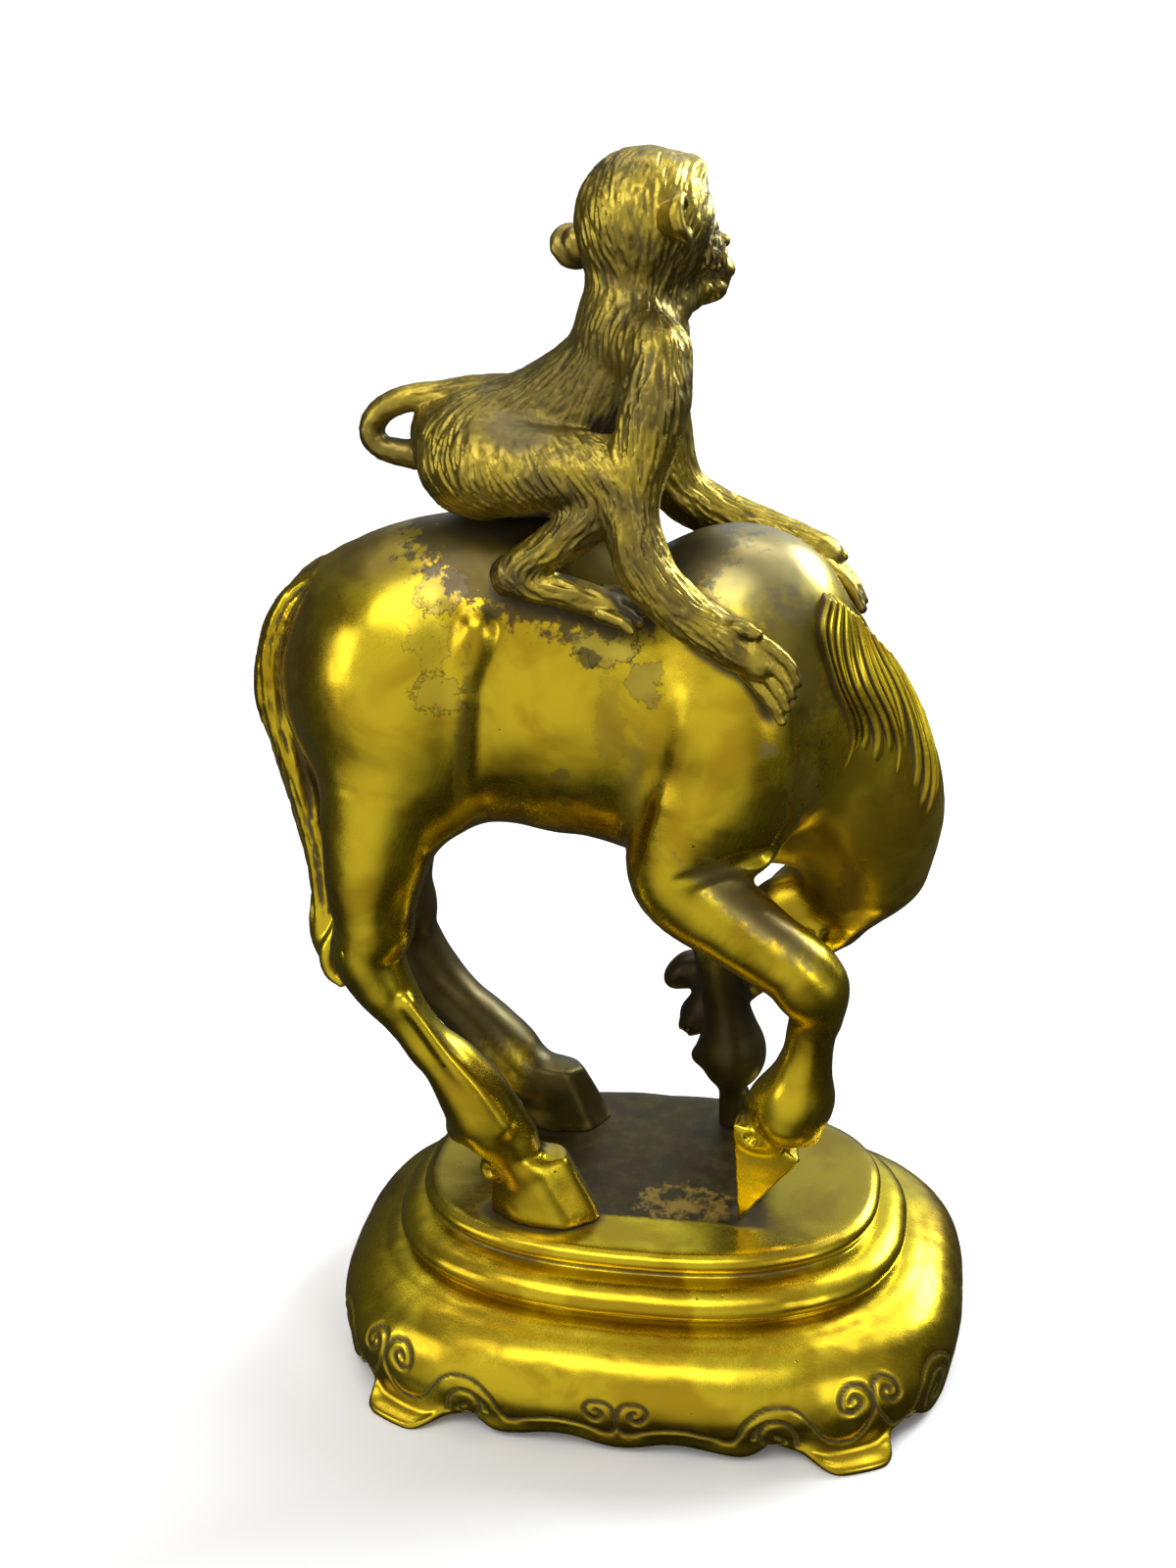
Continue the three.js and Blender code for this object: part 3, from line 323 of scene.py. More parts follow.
def largest(points, quads):
    """The biggest connected body: every vertex takes the lowest number in reach until nothing changes."""
    label = np.arange(len(points))
    while True:
        lowest = label[quads].min(1)
        new = label.copy()
        for n in range(4):
            np.minimum.at(new, quads[:, n], lowest)
        new = new[new]
        if (new == label).all():
            break
        label = new
    names, counts = np.unique(label, return_counts=True)
    keep = label == names[np.argmax(counts)]
    number = np.cumsum(keep) - 1
    return points[keep], number[quads[keep[quads[:, 0]]]]


def speckle(points, cell, seed):
    """Smooth random values from -1 to 1: random numbers at the corners of cubes, eased between them."""
    g = points / cell
    base = np.floor(g)
    t = g - base
    t = t * t * (3 - 2 * t)
    base = base.astype(np.int64)
    total = np.zeros(len(points))
    for a, b, c, weight in corners_of_cell(t):
        h = (base[:, 0] + a) * 73856093 ^ (base[:, 1] + b) * 19349663
        h = h ^ (base[:, 2] + c) * 83492791 ^ seed * 2654435761
        h = (h ^ (h >> 13)) * 1274126177 & 0x7FFFFFFF
        h = (h ^ (h >> 15)) & 0xFFFF
        total += weight * (h / 32767.5 - 1)
    return total


def combed_way(points, guides):
    """Direction of the hair at each point: the guides' directions, weighted by the inverse fourth power
    of distance."""
    way = np.zeros((len(points), 3), np.float32)
    for x, y, z, dx, dy, dz in guides:
        away = (points[:, 0] - x) ** 2 + (points[:, 1] - y) ** 2 + (points[:, 2] - z) ** 2
        weight = 1 / (away + 6) ** 2
        length = math.sqrt(dx * dx + dy * dy + dz * dz)
        way += weight[:, None] * np.array([dx, dy, dz], np.float32) / length
    return way / np.maximum(np.linalg.norm(way, axis=1, keepdims=True), 1e-12)


def strokes(clay, points, guides, cell, length, seed):
    """Carved hair: random values averaged along a path that follows the hair over the surface, both
    ways from each point, so they stay alike along a stroke and differ across it; scaled to a spread of
    one."""
    total = speckle(points, cell, seed)
    steps = max(2, round(length / (2 * 0.7 * cell)))
    for sign in (-1, 1):
        place = points.copy()
        for n in range(steps):
            out = clay.outward(place)
            way = combed_way(place, guides) * sign
            way -= out * (way * out).sum(1, keepdims=True)
            way /= np.maximum(np.linalg.norm(way, axis=1, keepdims=True), 0.2)
            place = place + way * np.float32(0.7 * cell)
            place = place - out * np.clip(clay.at(place), -0.6, 0.6)[:, None]
            total += speckle(place, cell, seed) * (1 - 0.5 * n / steps)
    return total / total.std()


def shut_in(clay, points, out, spans):
    """How shut in each point is, 0 to 1: what the distance falls short by along the outward way, over
    several spans."""
    short = np.zeros(len(points))
    for span in spans:
        short += np.clip(1 - clay.at(points + out * span) / span, 0, 1)
    return short / len(spans)


def near(points, centre, radii, edge=0.35):
    """One inside an ellipsoid, easing to nothing over a share of its size outside."""
    away = np.sqrt((((points - np.array(centre)) / np.array(radii)) ** 2).sum(1))
    t = np.clip((1 + edge - away) / edge, 0, 1)
    return t * t * (3 - 2 * t)


def shade_smooth(mesh):
    mesh.polygons.foreach_set("use_smooth", np.ones(len(mesh.polygons), bool))


def piece(name, points, quads, values):
    """A mesh of quads in metres on the frame, with one number on every vertex for each named value."""
    mesh = bpy.data.meshes.new(name)
    moved = (points + np.array([CENTRING, 0, 0])) * MILLIMETRE
    mesh.vertices.add(len(moved))
    mesh.vertices.foreach_set("co", moved.astype(np.float32).ravel())
    mesh.loops.add(quads.size)
    mesh.loops.foreach_set("vertex_index", quads.astype(np.int32).ravel())
    mesh.polygons.add(len(quads))
    mesh.polygons.foreach_set("loop_start", np.arange(0, quads.size, 4, dtype=np.int32))
    for key, value in values.items():
        mesh.attributes.new(key, "FLOAT", "POINT").data.foreach_set("value", np.asarray(value, np.float32))
    mesh.update(calc_edges=True)
    mesh.validate()
    shade_smooth(mesh)
    made = bpy.data.objects.new(name, mesh)
    bpy.context.scene.collection.objects.link(made)
    return made


def thinned(made, most):
    """Collapses edges where the surface changes least until no more than the given number of triangles
    is left."""
    count = len(made.data.loops) - 2 * len(made.data.polygons)
    if count > most:
        thin = made.modifiers.new("thin", "DECIMATE")
        thin.ratio = most / count
        thin.use_collapse_triangulate = True
        seen = made.evaluated_get(bpy.context.evaluated_depsgraph_get())
        mesh = bpy.data.meshes.new_from_object(seen)
        made.modifiers.clear()
        made.data = mesh
        shade_smooth(mesh)
    return made


def lock(root, middle, tip, radius, parts=5):
    """Stations of a tapering lock on the parabola through its root, middle and tip; its radius falls
    with the square."""
    t = np.linspace(0, 1, parts)[:, None]
    root, middle, tip = (np.array(p, float) for p in (root, middle, tip))
    path = root * (1 - t) * (1 - 2 * t) + middle * 4 * t * (1 - t) + tip * t * (2 * t - 1)
    return np.hstack([path, radius - radius * 0.7 * t**2])


# Mane: six lines down the near side, front of the withers first, from the crest to the tips
NEAR_MANE = [
    [(44.5, -8, 207), (44, -15, 200.5), (47, -17, 190), (51, -17.5, 181), (53, -17.5, 174),
     (50.5, -16, 164.5)],
    [(46.5, -5, 205.5), (47.5, -12, 197.5), (51.5, -15.5, 188), (55, -14.5, 178.5), (55.5, -14.5, 172),
     (53, -15.5, 163)],
    [(49.5, -4, 203), (52.5, -8, 195), (56.5, -10.5, 186.5), (60, -9.5, 176.5), (62, -9.5, 168),
     (59.5, -10.5, 153)],
    [(52.5, -2, 199.5), (56.5, -4.5, 191.5), (61, -6, 183), (64, -7.5, 174.5), (65, -7.5, 165),
     (60.5, -9.5, 152.5)],
    [(56, 0, 195), (61.5, -1.5, 185.5), (66, -3, 175.5), (68.5, -3.5, 165.5), (69, -4.5, 157),
     (67, -5, 149)],
    [(59, 1.5, 191), (65, 1.5, 180.5), (69.5, 1.5, 168), (71.5, 1.5, 156.5), (71.5, 1, 151),
     (69.5, 0.5, 144.5)],
]
FAR_MANE = [
    ((48, 2, 198.5), (50.5, 13, 188.5), (53, 18, 174)),
    ((51, 3, 195.5), (54.5, 14, 182.5), (57, 19, 166)),
    ((54, 3.5, 191.5), (58.5, 14, 177.5), (60.5, 19, 160)),
    ((56.5, 4, 187.5), (61.5, 13.5, 173), (63, 18.5, 154.5)),
    ((59, 4.5, 183.5), (64.5, 12.5, 168), (65.5, 18, 150)),
    ((61.5, 5, 179), (67, 11, 163.5), (67.5, 15.5, 146)),
]
TAIL = [
    (-66, 0, 207, 5.5), (-76, 0, 202.6, 5), (-84.2, 0, 192.2, 5), (-88.6, 0, 177.5, 5),
    (-86, 0, 164, 5.2), (-82.6, -1, 150, 5.2), (-79.8, -2, 136, 5), (-79, -4, 123, 4.8),
    (-79.5, -6, 113, 4.8), (-77, -9, 106, 3.2),
]


def shape_horse(clay):
    """Croup, barrel and chest, hind quarters, the four legs, the bowed neck and the head tucked back to
    the left."""
    clay.ball((-51, 0, 180), (33.6, 29, 37.6), blend=8)
    clay.ball((-13, 0, 177.5), (50, 26.5, 34.5), (0, 7, 0), 8)
    clay.ball((-28, 0, 193.5), (37, 21, 28.6), (0, 2, 0), 8)
    clay.ball((5, 0, 160), (15, 18, 21), blend=8)
    clay.ball((24, 0, 178), (28, 26, 37), blend=10)
    clay.ball((26, 0, 198.4), (22.5, 18, 20), blend=8)
    for side in (-1, 1):
        clay.ball((-52, side * 13, 176), (22, 18, 33))
        clay.ball((-49, side * 17, 170), (14, 12, 22), (0, -12, 0), 5)
        # Front edge of the haunch, from the point of the hip to the flank, standing proud of the barrel
        clay.block([(-36.5, side * 15, 209.5), (-27.5, side * 15.5, 208), (-25.5, side * 17, 200.5),
                    (-31, side * 18, 189)],
                   [(-36, side * 20.6, 206.5), (-29.4, side * 20.4, 206.2), (-27.6, side * 21.8, 200.6),
                    (-32, side * 25, 189)], 4, 3)
        clay.limb([(-30.5, side * 20.6, 200, 4.6), (-34.2, side * 21.8, 189, 5),
                   (-37, side * 22.2, 176, 5.2), (-42, side * 21.4, 164.5, 5.2),
                   (-50, side * 20.5, 154.5, 5.5)], 2)

    # Hind legs: thigh, gaskin, hock with its point, cannon and fetlock
    clay.limb([(-56.5, -16, 160, 16), (-58.5, -20, 148, 13.8), (-60.5, -23, 136, 11.2),
               (-60.5, -24.5, 126, 9)], 4)
    clay.limb([(-60.5, -24.5, 126, 9), (-62.5, -25.2, 119.3, 8.4), (-59.5, -25.2, 110.4, 7.4),
               (-54.6, -25, 102, 5.8), (-49.7, -24.5, 93.9, 5.9), (-44.8, -24, 88, 6.8),
               (-39.8, -23.5, 79, 8.6), (-37, -23, 73.1, 9), (-31.5, -22.3, 66.5, 7)], 2)
    clay.limb([(-67, -25.5, 124, 3), (-68, -25.5, 118.5, 3.7), (-64, -25.2, 110, 3.4),
               (-56, -25, 100, 3)], 2.5)
    clay.limb([(-41, -23, 71.5, 4.5), (-43.5, -23, 68.8, 4)], 3)
    clay.limb([(-52, -30, 108, 1.6), (-44.5, -29.6, 95, 1.7), (-37, -29, 84, 1.9), (-31.5, -28.4, 74, 2)],
              3)
    clay.limb([(-59, 15, 158, 16), (-66, 18, 141, 12.9), (-69.5, 19, 121, 10.8), (-69.6, 20, 107.6, 9.8)],
              6)
    clay.limb([(-69.6, 20, 107.6, 9.8), (-68.8, 21, 98.8, 9.3), (-62.4, 22, 86.6, 8.1),
               (-55.6, 22, 78.4, 7.4), (-47, 21, 69.4, 8.4), (-41.6, 21, 63, 8.8), (-37, 20, 58, 7)], 3)
    clay.limb([(-75, 21, 105, 3.4), (-74.5, 21, 98, 3.6), (-66, 22, 84, 3.2)], 3)

    # Hind hooves: flat-sided blocks flaring to the sole, the near one with the knob of its heel
    clay.limb([(-34.5, -22.6, 68, 7), (-28, -22.8, 60, 5.6)], 3)
    clay.block([(-38.6, -22.4, SOLE), (-29.8, -28.8, SOLE), (-16, -29.8, SOLE), (-8, -23.6, SOLE),
                (-11, -15.5, SOLE), (-24, -12.5, SOLE), (-36.5, -16.5, SOLE)],
               [(-36, -23, 60), (-30, -29, 62), (-22.5, -28.6, 61.5), (-17.5, -22.5, 62.5),
                (-18.5, -15.5, 61), (-26, -14, 61), (-34, -17, 60)], 3.2, 2.2)
    clay.ball((-35.8, -24, 58.4), (3.4, 3.8, 3.4), blend=1)
    clay.ball((-36.4, -27.6, 58.6), (1.6, 1.5, 1.4), blend=0.5, carve=True)
    clay.limb([(-37, 20, 58, 7), (-31, 20, 56, 7.4)], 3)
    clay.block([(-40, 17, SOLE), (-31, 12, SOLE), (-18, 14, SOLE), (-13.6, 23, SOLE), (-18, 29, SOLE),
                (-36, 28, SOLE)],
               [(-36, 17, 61), (-29, 14, 62), (-23.2, 16, 62), (-21.5, 22, 60.5), (-25, 27, 60),
                (-34, 26, 60)], 2.5, 1.8)

    # Near foreleg, bent at the knee, standing on the toe of its hoof
    clay.ball((26, -18, 170), (16, 12, 30))
    clay.limb([(18, -16, 158, 14.5), (13.4, -18.5, 141, 12.3), (26, -20.5, 129.3, 10.1),
               (40, -21, 119, 8.6)], 4)
    clay.limb([(39, -21, 120, 8), (44.6, -21, 114.6, 8), (45, -20.5, 107, 6.6), (43.8, -20, 101, 5.9),
               (42.6, -19.6, 93, 6.2), (40, -18.8, 82, 8.8), (38.6, -18.5, 77.5, 9.2)], 2.5)
    clay.ball((41.5, -25.5, 113.5), (5, 3.4, 5.6), blend=3)
    clay.limb([(40.5, -18.7, 82, 8), (33.5, -18.5, 82, 4.2), (30.2, -18.5, 79.6, 2.4)], 3)
    clay.limb([(30.5, -18, 78, 2.6), (37, -21, 74, 2.6), (43, -20, 72, 3)], 1.5)
    # Its hoof: a flat wedge with sharp edges, standing on its toe
    clay.block([(24.7, -21.8, 75), (41.6, -22.4, 65.6), (25.3, -19, SOLE)],
               [(26.4, -13, 74), (39, -13, 66), (25.7, -14.5, 43)], 0.8, 0.5)
    clay.ball((32, -17.8, 71), (7, 6, 5), blend=2)
    clay.ball((29.4, -22.8, 71.4), (1.7, 1.4, 1.5), blend=0.4, carve=True)

    # Far foreleg, straight, widening at the fetlock, with its toe turned under
    clay.ball((24, 17, 168), (16, 12, 30))
    clay.limb([(17, 15, 146, 12.5), (15.5, 16, 125, 8.8), (16.4, 17.3, 104, 6.6), (17.2, 18.6, 91, 5.7),
               (18.2, 20, 83, 6.1), (19, 21, 75, 7.5), (19.4, 21.6, 68, 9.1), (19.2, 22, 62.5, 6.4),
               (18.8, 22.5, 57, 3)], 4)
    clay.limb([(14, 21.5, 68.5, 3.2), (10.6, 21.5, 66.4, 2.4)], 3)
    clay.limb([(18.8, 22.5, 58.5, 3.2), (19.6, 24.5, 51, 4.4), (19.8, 25, 42, 5)], 2)

    # Neck and throat
    clay.limb([(28, 0, 188, 22), (40, 3, 178, 20.6), (49.3, 6, 165, 19.2), (54.5, 9, 149, 18.2),
               (54.8, 14, 131, 15)], 7)
    clay.limb([(38, 6, 158, 12), (44.5, 8, 141, 10), (46, 12, 130, 7)], 5)
    clay.limb([(25, -2, 149, 11), (35, 3, 145.5, 10.6), (45, 8, 141, 9.6)], 4)
    shape_horse_head(clay)
    for root, middle, tip in FAR_MANE:
        clay.limb(lock(root, middle, tip, 2.1), 0.8)
    clay.limb(TAIL, 3)
    clay.limb([(-74, -6, 123, 1.8), (-75.5, -9.5, 116, 2.2), (-78.3, -11, 110.5, 2.2),
               (-78, -11.5, 105, 2), (-75, -13, 102.6, 1.3)], 1.2)

    # Hollows: flank, behind the shoulder, between shoulder and neck, the crease of the elbow
    for side in (-1, 1):
        clay.limb([(-24.5, side * 26, 199, 1), (-28.5, side * 27.6, 188, 1.9),
                   (-30.2, side * 28.2, 175, 2.1), (-33, side * 27, 160, 2), (-36, side * 24, 147, 1.4)],
                  2, True)
        clay.limb([(14, side * 29, 186, 0.8), (9.5, side * 28.6, 173, 1.8), (5, side * 27, 159, 2),
                   (2.5, side * 26, 148, 1.6)], 3, True)
    clay.limb([(42, -23.5, 182, 1), (43.5, -21.5, 170, 2.4), (42, -21, 158, 3.4), (38, -22, 149, 3.4)], 3,
              True)
    clay.limb([(14.5, -31.6, 145.2, 0.8), (21, -30.4, 146.2, 1.7), (28, -27.5, 147.6, 2.6),
               (34, -23, 148, 3.2)], 1.5, True)
    clay.limb([(43, 26, 182, 1), (44, 25, 168, 2), (42, 24, 154, 2.4)], 3, True)
    clay.floor(DECK_TOP + 0.15)
    return clay


def shape_horse_head(clay):
    """Skull, cheeks, the long nose, jaw, muzzle with lips and nostrils, eyes and ears; the jaw side is
    up."""
    head = TurnedClay(clay, POLL, HEAD_TURN)
    head.ball((7, 0, 0.5), (14, 10.5, 12), 6)
    head.ball((18, 0, 3), (15, 9.5, 11), 5)
    head.limb([(16, 0, -3, 8.5), (34, 0, -3.2, 7.2), (50, 0, -2, 6.6), (66, 0, -2.5, 6.3)], 4)
    head.limb([(24, 0, 4, 8), (40, 0, 4.6, 6), (52, 0, 4, 5), (64, 0, 5.5, 4.7)], 4)
    head.ball((70, 0, -3), (8.8, 7.8, 6.2), 3)
    head.ball((67.5, 0, 9), (7.4, 6.2, 4.4), 2)
    head.ball((76, 0, 3.6), (10, 9, 1.1), 0.8, True)
    for side in (-1, 1):
        # Cheek, the ridge of the face, nostril, eye with its lids, ear
        head.ball((22, side * 7, 5), (11, 4.6, 9), 3)
        head.limb([(26, side * 6.5, -5, 2), (38, side * 5.8, -4, 1.6), (48, side * 5.4, -3, 1.2)], 3)
        head.ball((73, side * 5.8, -3.6), (4.4, 2.4, 3), 1.5)
        head.ball((75, side * 6.8, -4), (2.4, 2, 1.3), 0.8, True)
        head.ball((17.5, side * 8.2, -3.6), (5.2, 3, 3.8), 2)
        head.ball((17.8, side * 10.6, -3.6), (3.2, 1.6, 2.2), 0.8, True)
        head.ball((17.8, side * 9.6, -3.6), (2.6, 1.6, 1.9), 0.5)
        head.limb([(13.5, side * 9.5, -4.8, 0.7), (17, side * 10.6, -6.4, 0.9),
                   (22, side * 9.2, -4.4, 0.6)], 1)
        head.limb([(-1, side * 7, -4, 3.6), (-9, side * 11, -1, 3.2), (-17, side * 12, 2, 1)], 1.5)
        head.limb([(-4, side * 10.5, -4, 1.4), (-10, side * 13.2, -2.5, 1.5), (-15, side * 14, 0, 0.5)],
                  1, True)


def shape_monkey(clay):
    """Trunk and haunches, folded legs, arms down on the horse's shoulders, closed tail, and the head
    turned away."""
    clay.limb([(3, 0, 266, 9), (1.5, 0, 254, 12.5), (-12, 0, 243.8, 13), (-29, 0, 237.6, 13.6)], 6)
    clay.limb([(0.5, 0, 263.5, 7.4), (-6.5, 0, 254.2, 7), (-18, 0, 245, 6.6)], 5)
    clay.ball((-41, 0, 240), (7.4, 8.5, 8), blend=4)
    for side in (-1, 1):
        clay.ball((-31, side * 8, 236), (14, 11, 13.5), blend=5)
        clay.limb([(-27, side * 12, 235.5, 11), (-11, side * 17, 235.5, 9.2), (3, side * 20, 236, 7.6)], 3)
        clay.limb([(2, side * 20.3, 234, 6.8), (-3, side * 21.2, 227.5, 5.6), (-11, side * 22, 221, 4.8),
                   (-21.5, side * 22, 214.5, 4)], 2)
        clay.limb([(-22, side * 22, 213, 4.2), (-17, side * 22.2, 211.6, 3.7),
                   (-9, side * 22.5, 210, 3.5), (0, side * 22.5, 207, 3.2)], 2)
        for toe in range(4):
            spread = (toe - 1.5) * 2.3
            tip = 7.5 - 1.2 * abs(toe - 1.3)
            clay.limb([(-1.5, side * (22.5 + spread * 0.8), 208 - spread * 0.5, 1.7),
                       (3.5, side * (23 + spread), 206.8 - spread * 0.6, 1.5),
                       (tip, side * (23.2 + spread * 1.1), 205 - spread * 0.6, 1.15)], 0.5)
    shape_monkey_arms(clay)
    clay.limb([(-20, 0, 251.2, 1.2), (-30, 0, 251.2, 1.8), (-40, 0, 248.8, 2.8), (-48.5, 0, 247.6, 3),
               (-55, 0, 244.8, 3), (-57.8, 0, 240.2, 3), (-55.4, 0, 236.4, 3), (-48, 0, 234.8, 3.4)], 1)

    # Head and neck
    clay.limb([(2, 0, 264, 9.5), (4, 1.5, 276, 9.8)], 4)
    shape_monkey_head(clay)
    return clay


def shape_monkey_arms(clay):
    """Upper arm, elbow, forearm and hand of each arm, the near one further down the horse's shoulder."""
    clay.limb([(3, -6, 263, 8), (9, -12, 260.5, 7.6)], 5)
    clay.limb([(3, 6, 263, 8), (5.5, 11, 260, 8)], 5)
    clay.limb([(11.4, -16, 259.5, 6.9), (10.8, -20, 250.5, 7.3), (8, -22, 239.5, 6.3),
               (5.6, -24, 228, 5.9), (8.4, -25.5, 217.5, 6.2), (12.5, -26.5, 211.5, 5.8),
               (21.5, -27.5, 204.4, 5.3), (28, -28, 201, 5)], 3)
    clay.limb([(5.6, 13.5, 257, 6.9), (6, 16.5, 240, 6.6), (9, 18.7, 223, 6.4), (20, 20, 215.2, 5.8),
               (33.5, 19, 210.6, 5), (43, 18, 206.4, 4.8)], 3)
    clay.limb([(28, -28, 201, 4.9), (33.5, -28.9, 197.4, 4.4)], 2)
    for finger in range(4):
        spread = (finger - 1.5) * 2.6
        clay.limb([(32 + spread * 0.5, -29.8 - spread * 0.1, 199.1 + spread * 0.9, 1.6),
                   (37.5 + spread * 0.5, -31.4, 194.2 + spread * 1.1, 1.45),
                   (39.8 + spread * 0.45, -31.5, 189.6 + spread * 1.1, 1.2)], 0.3)
        clay.limb([(43, 17.5 + spread, 206.2, 1.9), (48.8, 15.5 + spread, 202.4 - finger % 2, 1.7),
                   (52.2, 14.3 + spread, 196.8 - finger % 2, 1.35)], 0.5)
    clay.limb([(24, -29.5, 204.2, 2.1), (29, -31.3, 205.6, 1.7), (33, -31.5, 204.6, 1.3)], 1)
    clay.limb([(38, 22, 209.6, 2.1), (43.5, 25, 207.8, 1.7), (47, 25.5, 204.4, 1.3)], 1)


def shape_monkey_head(clay):
    """Round skull, brow ridge, short nose, pouting muzzle with folds round it, chin, cup ears and
    sunken eyes."""
    head = TurnedClay(clay, SKULL, GAZE)
    head.ball((0.7, -0.3, 0.4), (15, 14.6, 15), 5)
    head.ball((12, 0, -7), (8, 7.4, 8), 4)
    head.ball((18.4, 0, -10.9), (4.7, 6.3, 3.9), 2.5)
    head.ball((8.8, 0, 9.4), (4.2, 8, 3.8), 4)
    clay.limb([head.on(12.5, 0, -14) + (4,), (8, 0, 266, 6)], 3)
    head.ball((16.6, 0, -15), (4.3, 4.8, 2.4), 2)
    head.limb([(14.6, 0, 3, 1.8), (17.6, 0, -0.4, 1.9), (20.8, 0, -3.2, 1.8)], 1.5)
    head.ball((22, 0, -4.3), (2.5, 3.2, 2), 0.8)
    head.limb([(8.5, -9.8, 7.4, 1.9), (11.8, -6, 9.6, 2.5), (13.8, 0, 8, 1.9), (11.8, 6, 9.6, 2.5),
               (8.5, 9.8, 7.4, 1.9)], 2.5)
    head.limb([(20.4, -5.6, -13.1, 0.7), (23.3, 0, -12.9, 0.8), (20.4, 5.6, -13.1, 0.7)], 0.6, True)
    head.limb([(20.8, -4.4, -7.4, 0.8), (23, 0, -7.2, 0.9), (20.8, 4.4, -7.4, 0.8)], 0.8, True)
    for side in (-1, 1):
        head.ball((15, side * 5, 2.2), (2.8, 3.3, 2.4), 1, True)
        head.ball((13.1, side * 5, 2.1), (2.2, 2.5, 1.8), 0.5)
        head.limb([(14.3, side * 2.3, 1.2, 0.7), (15.4, side * 5, 0.2, 0.9), (13, side * 8, 1.4, 0.7)], 1)
        head.ball((24, side * 1.4, -5.2), (1.2, 0.8, 0.7), 0.4, True)
        head.ball((11.4, side * 6.4, -4.2), (3.6, 2.6, 4), 2.5)
        # Folds of the cheek, one behind the other round the corner of the mouth
        for fold in range(4):
            reach = 16.5 - 2.6 * fold
            head.limb([(reach + 1.5, side * (5.6 + 1.1 * fold), -5 + 0.6 * fold, 0.5),
                       (reach, side * (6.6 + 1.3 * fold), -8.6 + 0.5 * fold, 0.9),
                       (reach - 0.4, side * (5.9 + 1.2 * fold), -13 + 0.7 * fold, 0.5)], 0.9)
        # Ear: a bowl with a thick rim open to the front
        rise = 1 + side
        head.ball((-5.4, side * 15.6, rise - 3.2), (3.2, 3.4, 4), 1.5)
        head.limb([(-2.4, side * 16, rise - 0.2, 1), (-4.8, side * 17.8, rise + 0.7, 1.4),
                   (-7.2, side * 18.8, rise - 0.8, 1.6), (-8, side * 18.6, rise - 3.4, 1.7),
                   (-6.8, side * 18, rise - 6, 1.6), (-4.2, side * 16.8, rise - 7, 1.3),
                   (-2.2, side * 15.8, rise - 5.8, 1)], 1)
        head.ball((-3.8, side * 18.5, rise - 3), (2.6, 3.2, 2.9), 0.8, True)


def oblong(angle, inset, squareness):
    """A rounded oblong seen from above: the radius at an angle is (|cos / a|^n + |sin / b|^n)^(-1/n)."""
    c, s = np.cos(angle), np.sin(angle)
    long, wide = BULGE_LENGTH - inset, BULGE_WIDTH - inset
    radius = (np.abs(c / long) ** squareness + np.abs(s / wide) ** squareness) ** (-1 / squareness)
    return radius * c, radius * s


def plinth_profile(angle):
    """Rows of inset, height and squareness from the middle of the deck over the mouldings and the hem
    to the inner roof. Near a corner the hem runs down into a foot, beside it is a notch, and between
    them it falls in even lobes."""
    turn = np.arctan2(np.abs(np.sin(angle)), np.abs(np.cos(angle)))
    away = np.abs(turn - FOOT_TURN)
    foot = np.exp(-((away / FOOT_REACH) ** 6))
    notch = np.exp(-(((away - FOOT_REACH * 1.9) / 0.06) ** 2))
    lobes = np.cos((away - LOBE_FROM) * np.where(turn < FOOT_TURN, END_LOBES, SIDE_LOBES))
    low = (HEM_LEVEL - HEM_WAVE * lobes + 3.5 * notch) * (1 - foot)
    none = np.zeros_like(angle)
    rows = [
        (50, 44, 2.2), (40, 44, 2.3), (26.5, 44, 2.5), (24.2, 43.7, 2.5), (22.6, 42.8, 2.5),
        (22, 41.3, 2.5), (22.4, 39.9, 2.5), (23.4, 38.9, 2.5), (23.9, 38.2, 2.5), (23, 37.7, 2.5),
        (20.6, 37.3, 2.5), (18.3, 36.6, 2.5), (16.3, 35.3, 2.5), (15.2, 33.6, 2.5), (15.3, 31.6, 2.5),
        (16.6, 30.1, 2.5), (17.9, 29.4, 2.5), (17.6, 28.9, 2.5), (15.5, 28.5, 2.5), (13, 28, 2.5),
        (11.3, 27.3, 2.5), (10.4, 26.9, 2.5), (8.6, 26.2, 2.54), (5.2, 24.2, 2.6), (2.5, 21.3, 2.65),
        (0.8, 17.8, 2.7), (0.1, 13.8, 2.8), (0.5 - 0.3 * foot, 10 + none, 2.9),
        (1.2 - foot, np.maximum(low + 1, 7 - 3.5 * foot), 3),
        (1.7 - 4.8 * foot, low + 1.2 + 0.4 * foot, 3.1), (2.2 - 5.6 * foot, low + 0.25, 3.1),
        (2.9 - 5.2 * foot, low, 3.1), (2 + WALL + none, low + 0.1, 3.1),
        (2.4 + WALL + none, low + 1, 3.1), (2 + WALL + none, np.maximum(low + 2, 9), 3),
        (0.6 + WALL, 16, 2.7), (4.5 + WALL, 21.5, 2.6), (11 + WALL, 24.3, 2.5), (18 + WALL, 26.8, 2.5),
        (21.5 + WALL, 31.5, 2.5), (25.5 + WALL, DECK_TOP - DECK_THICKNESS - 0.6, 2.4),
        (31 + WALL, DECK_TOP - DECK_THICKNESS, 2.3), (BULGE_WIDTH - 0.1, DECK_TOP - DECK_THICKNESS, 2),
    ]
    return np.array([[np.broadcast_to(value, angle.shape) for value in row] for row in rows])


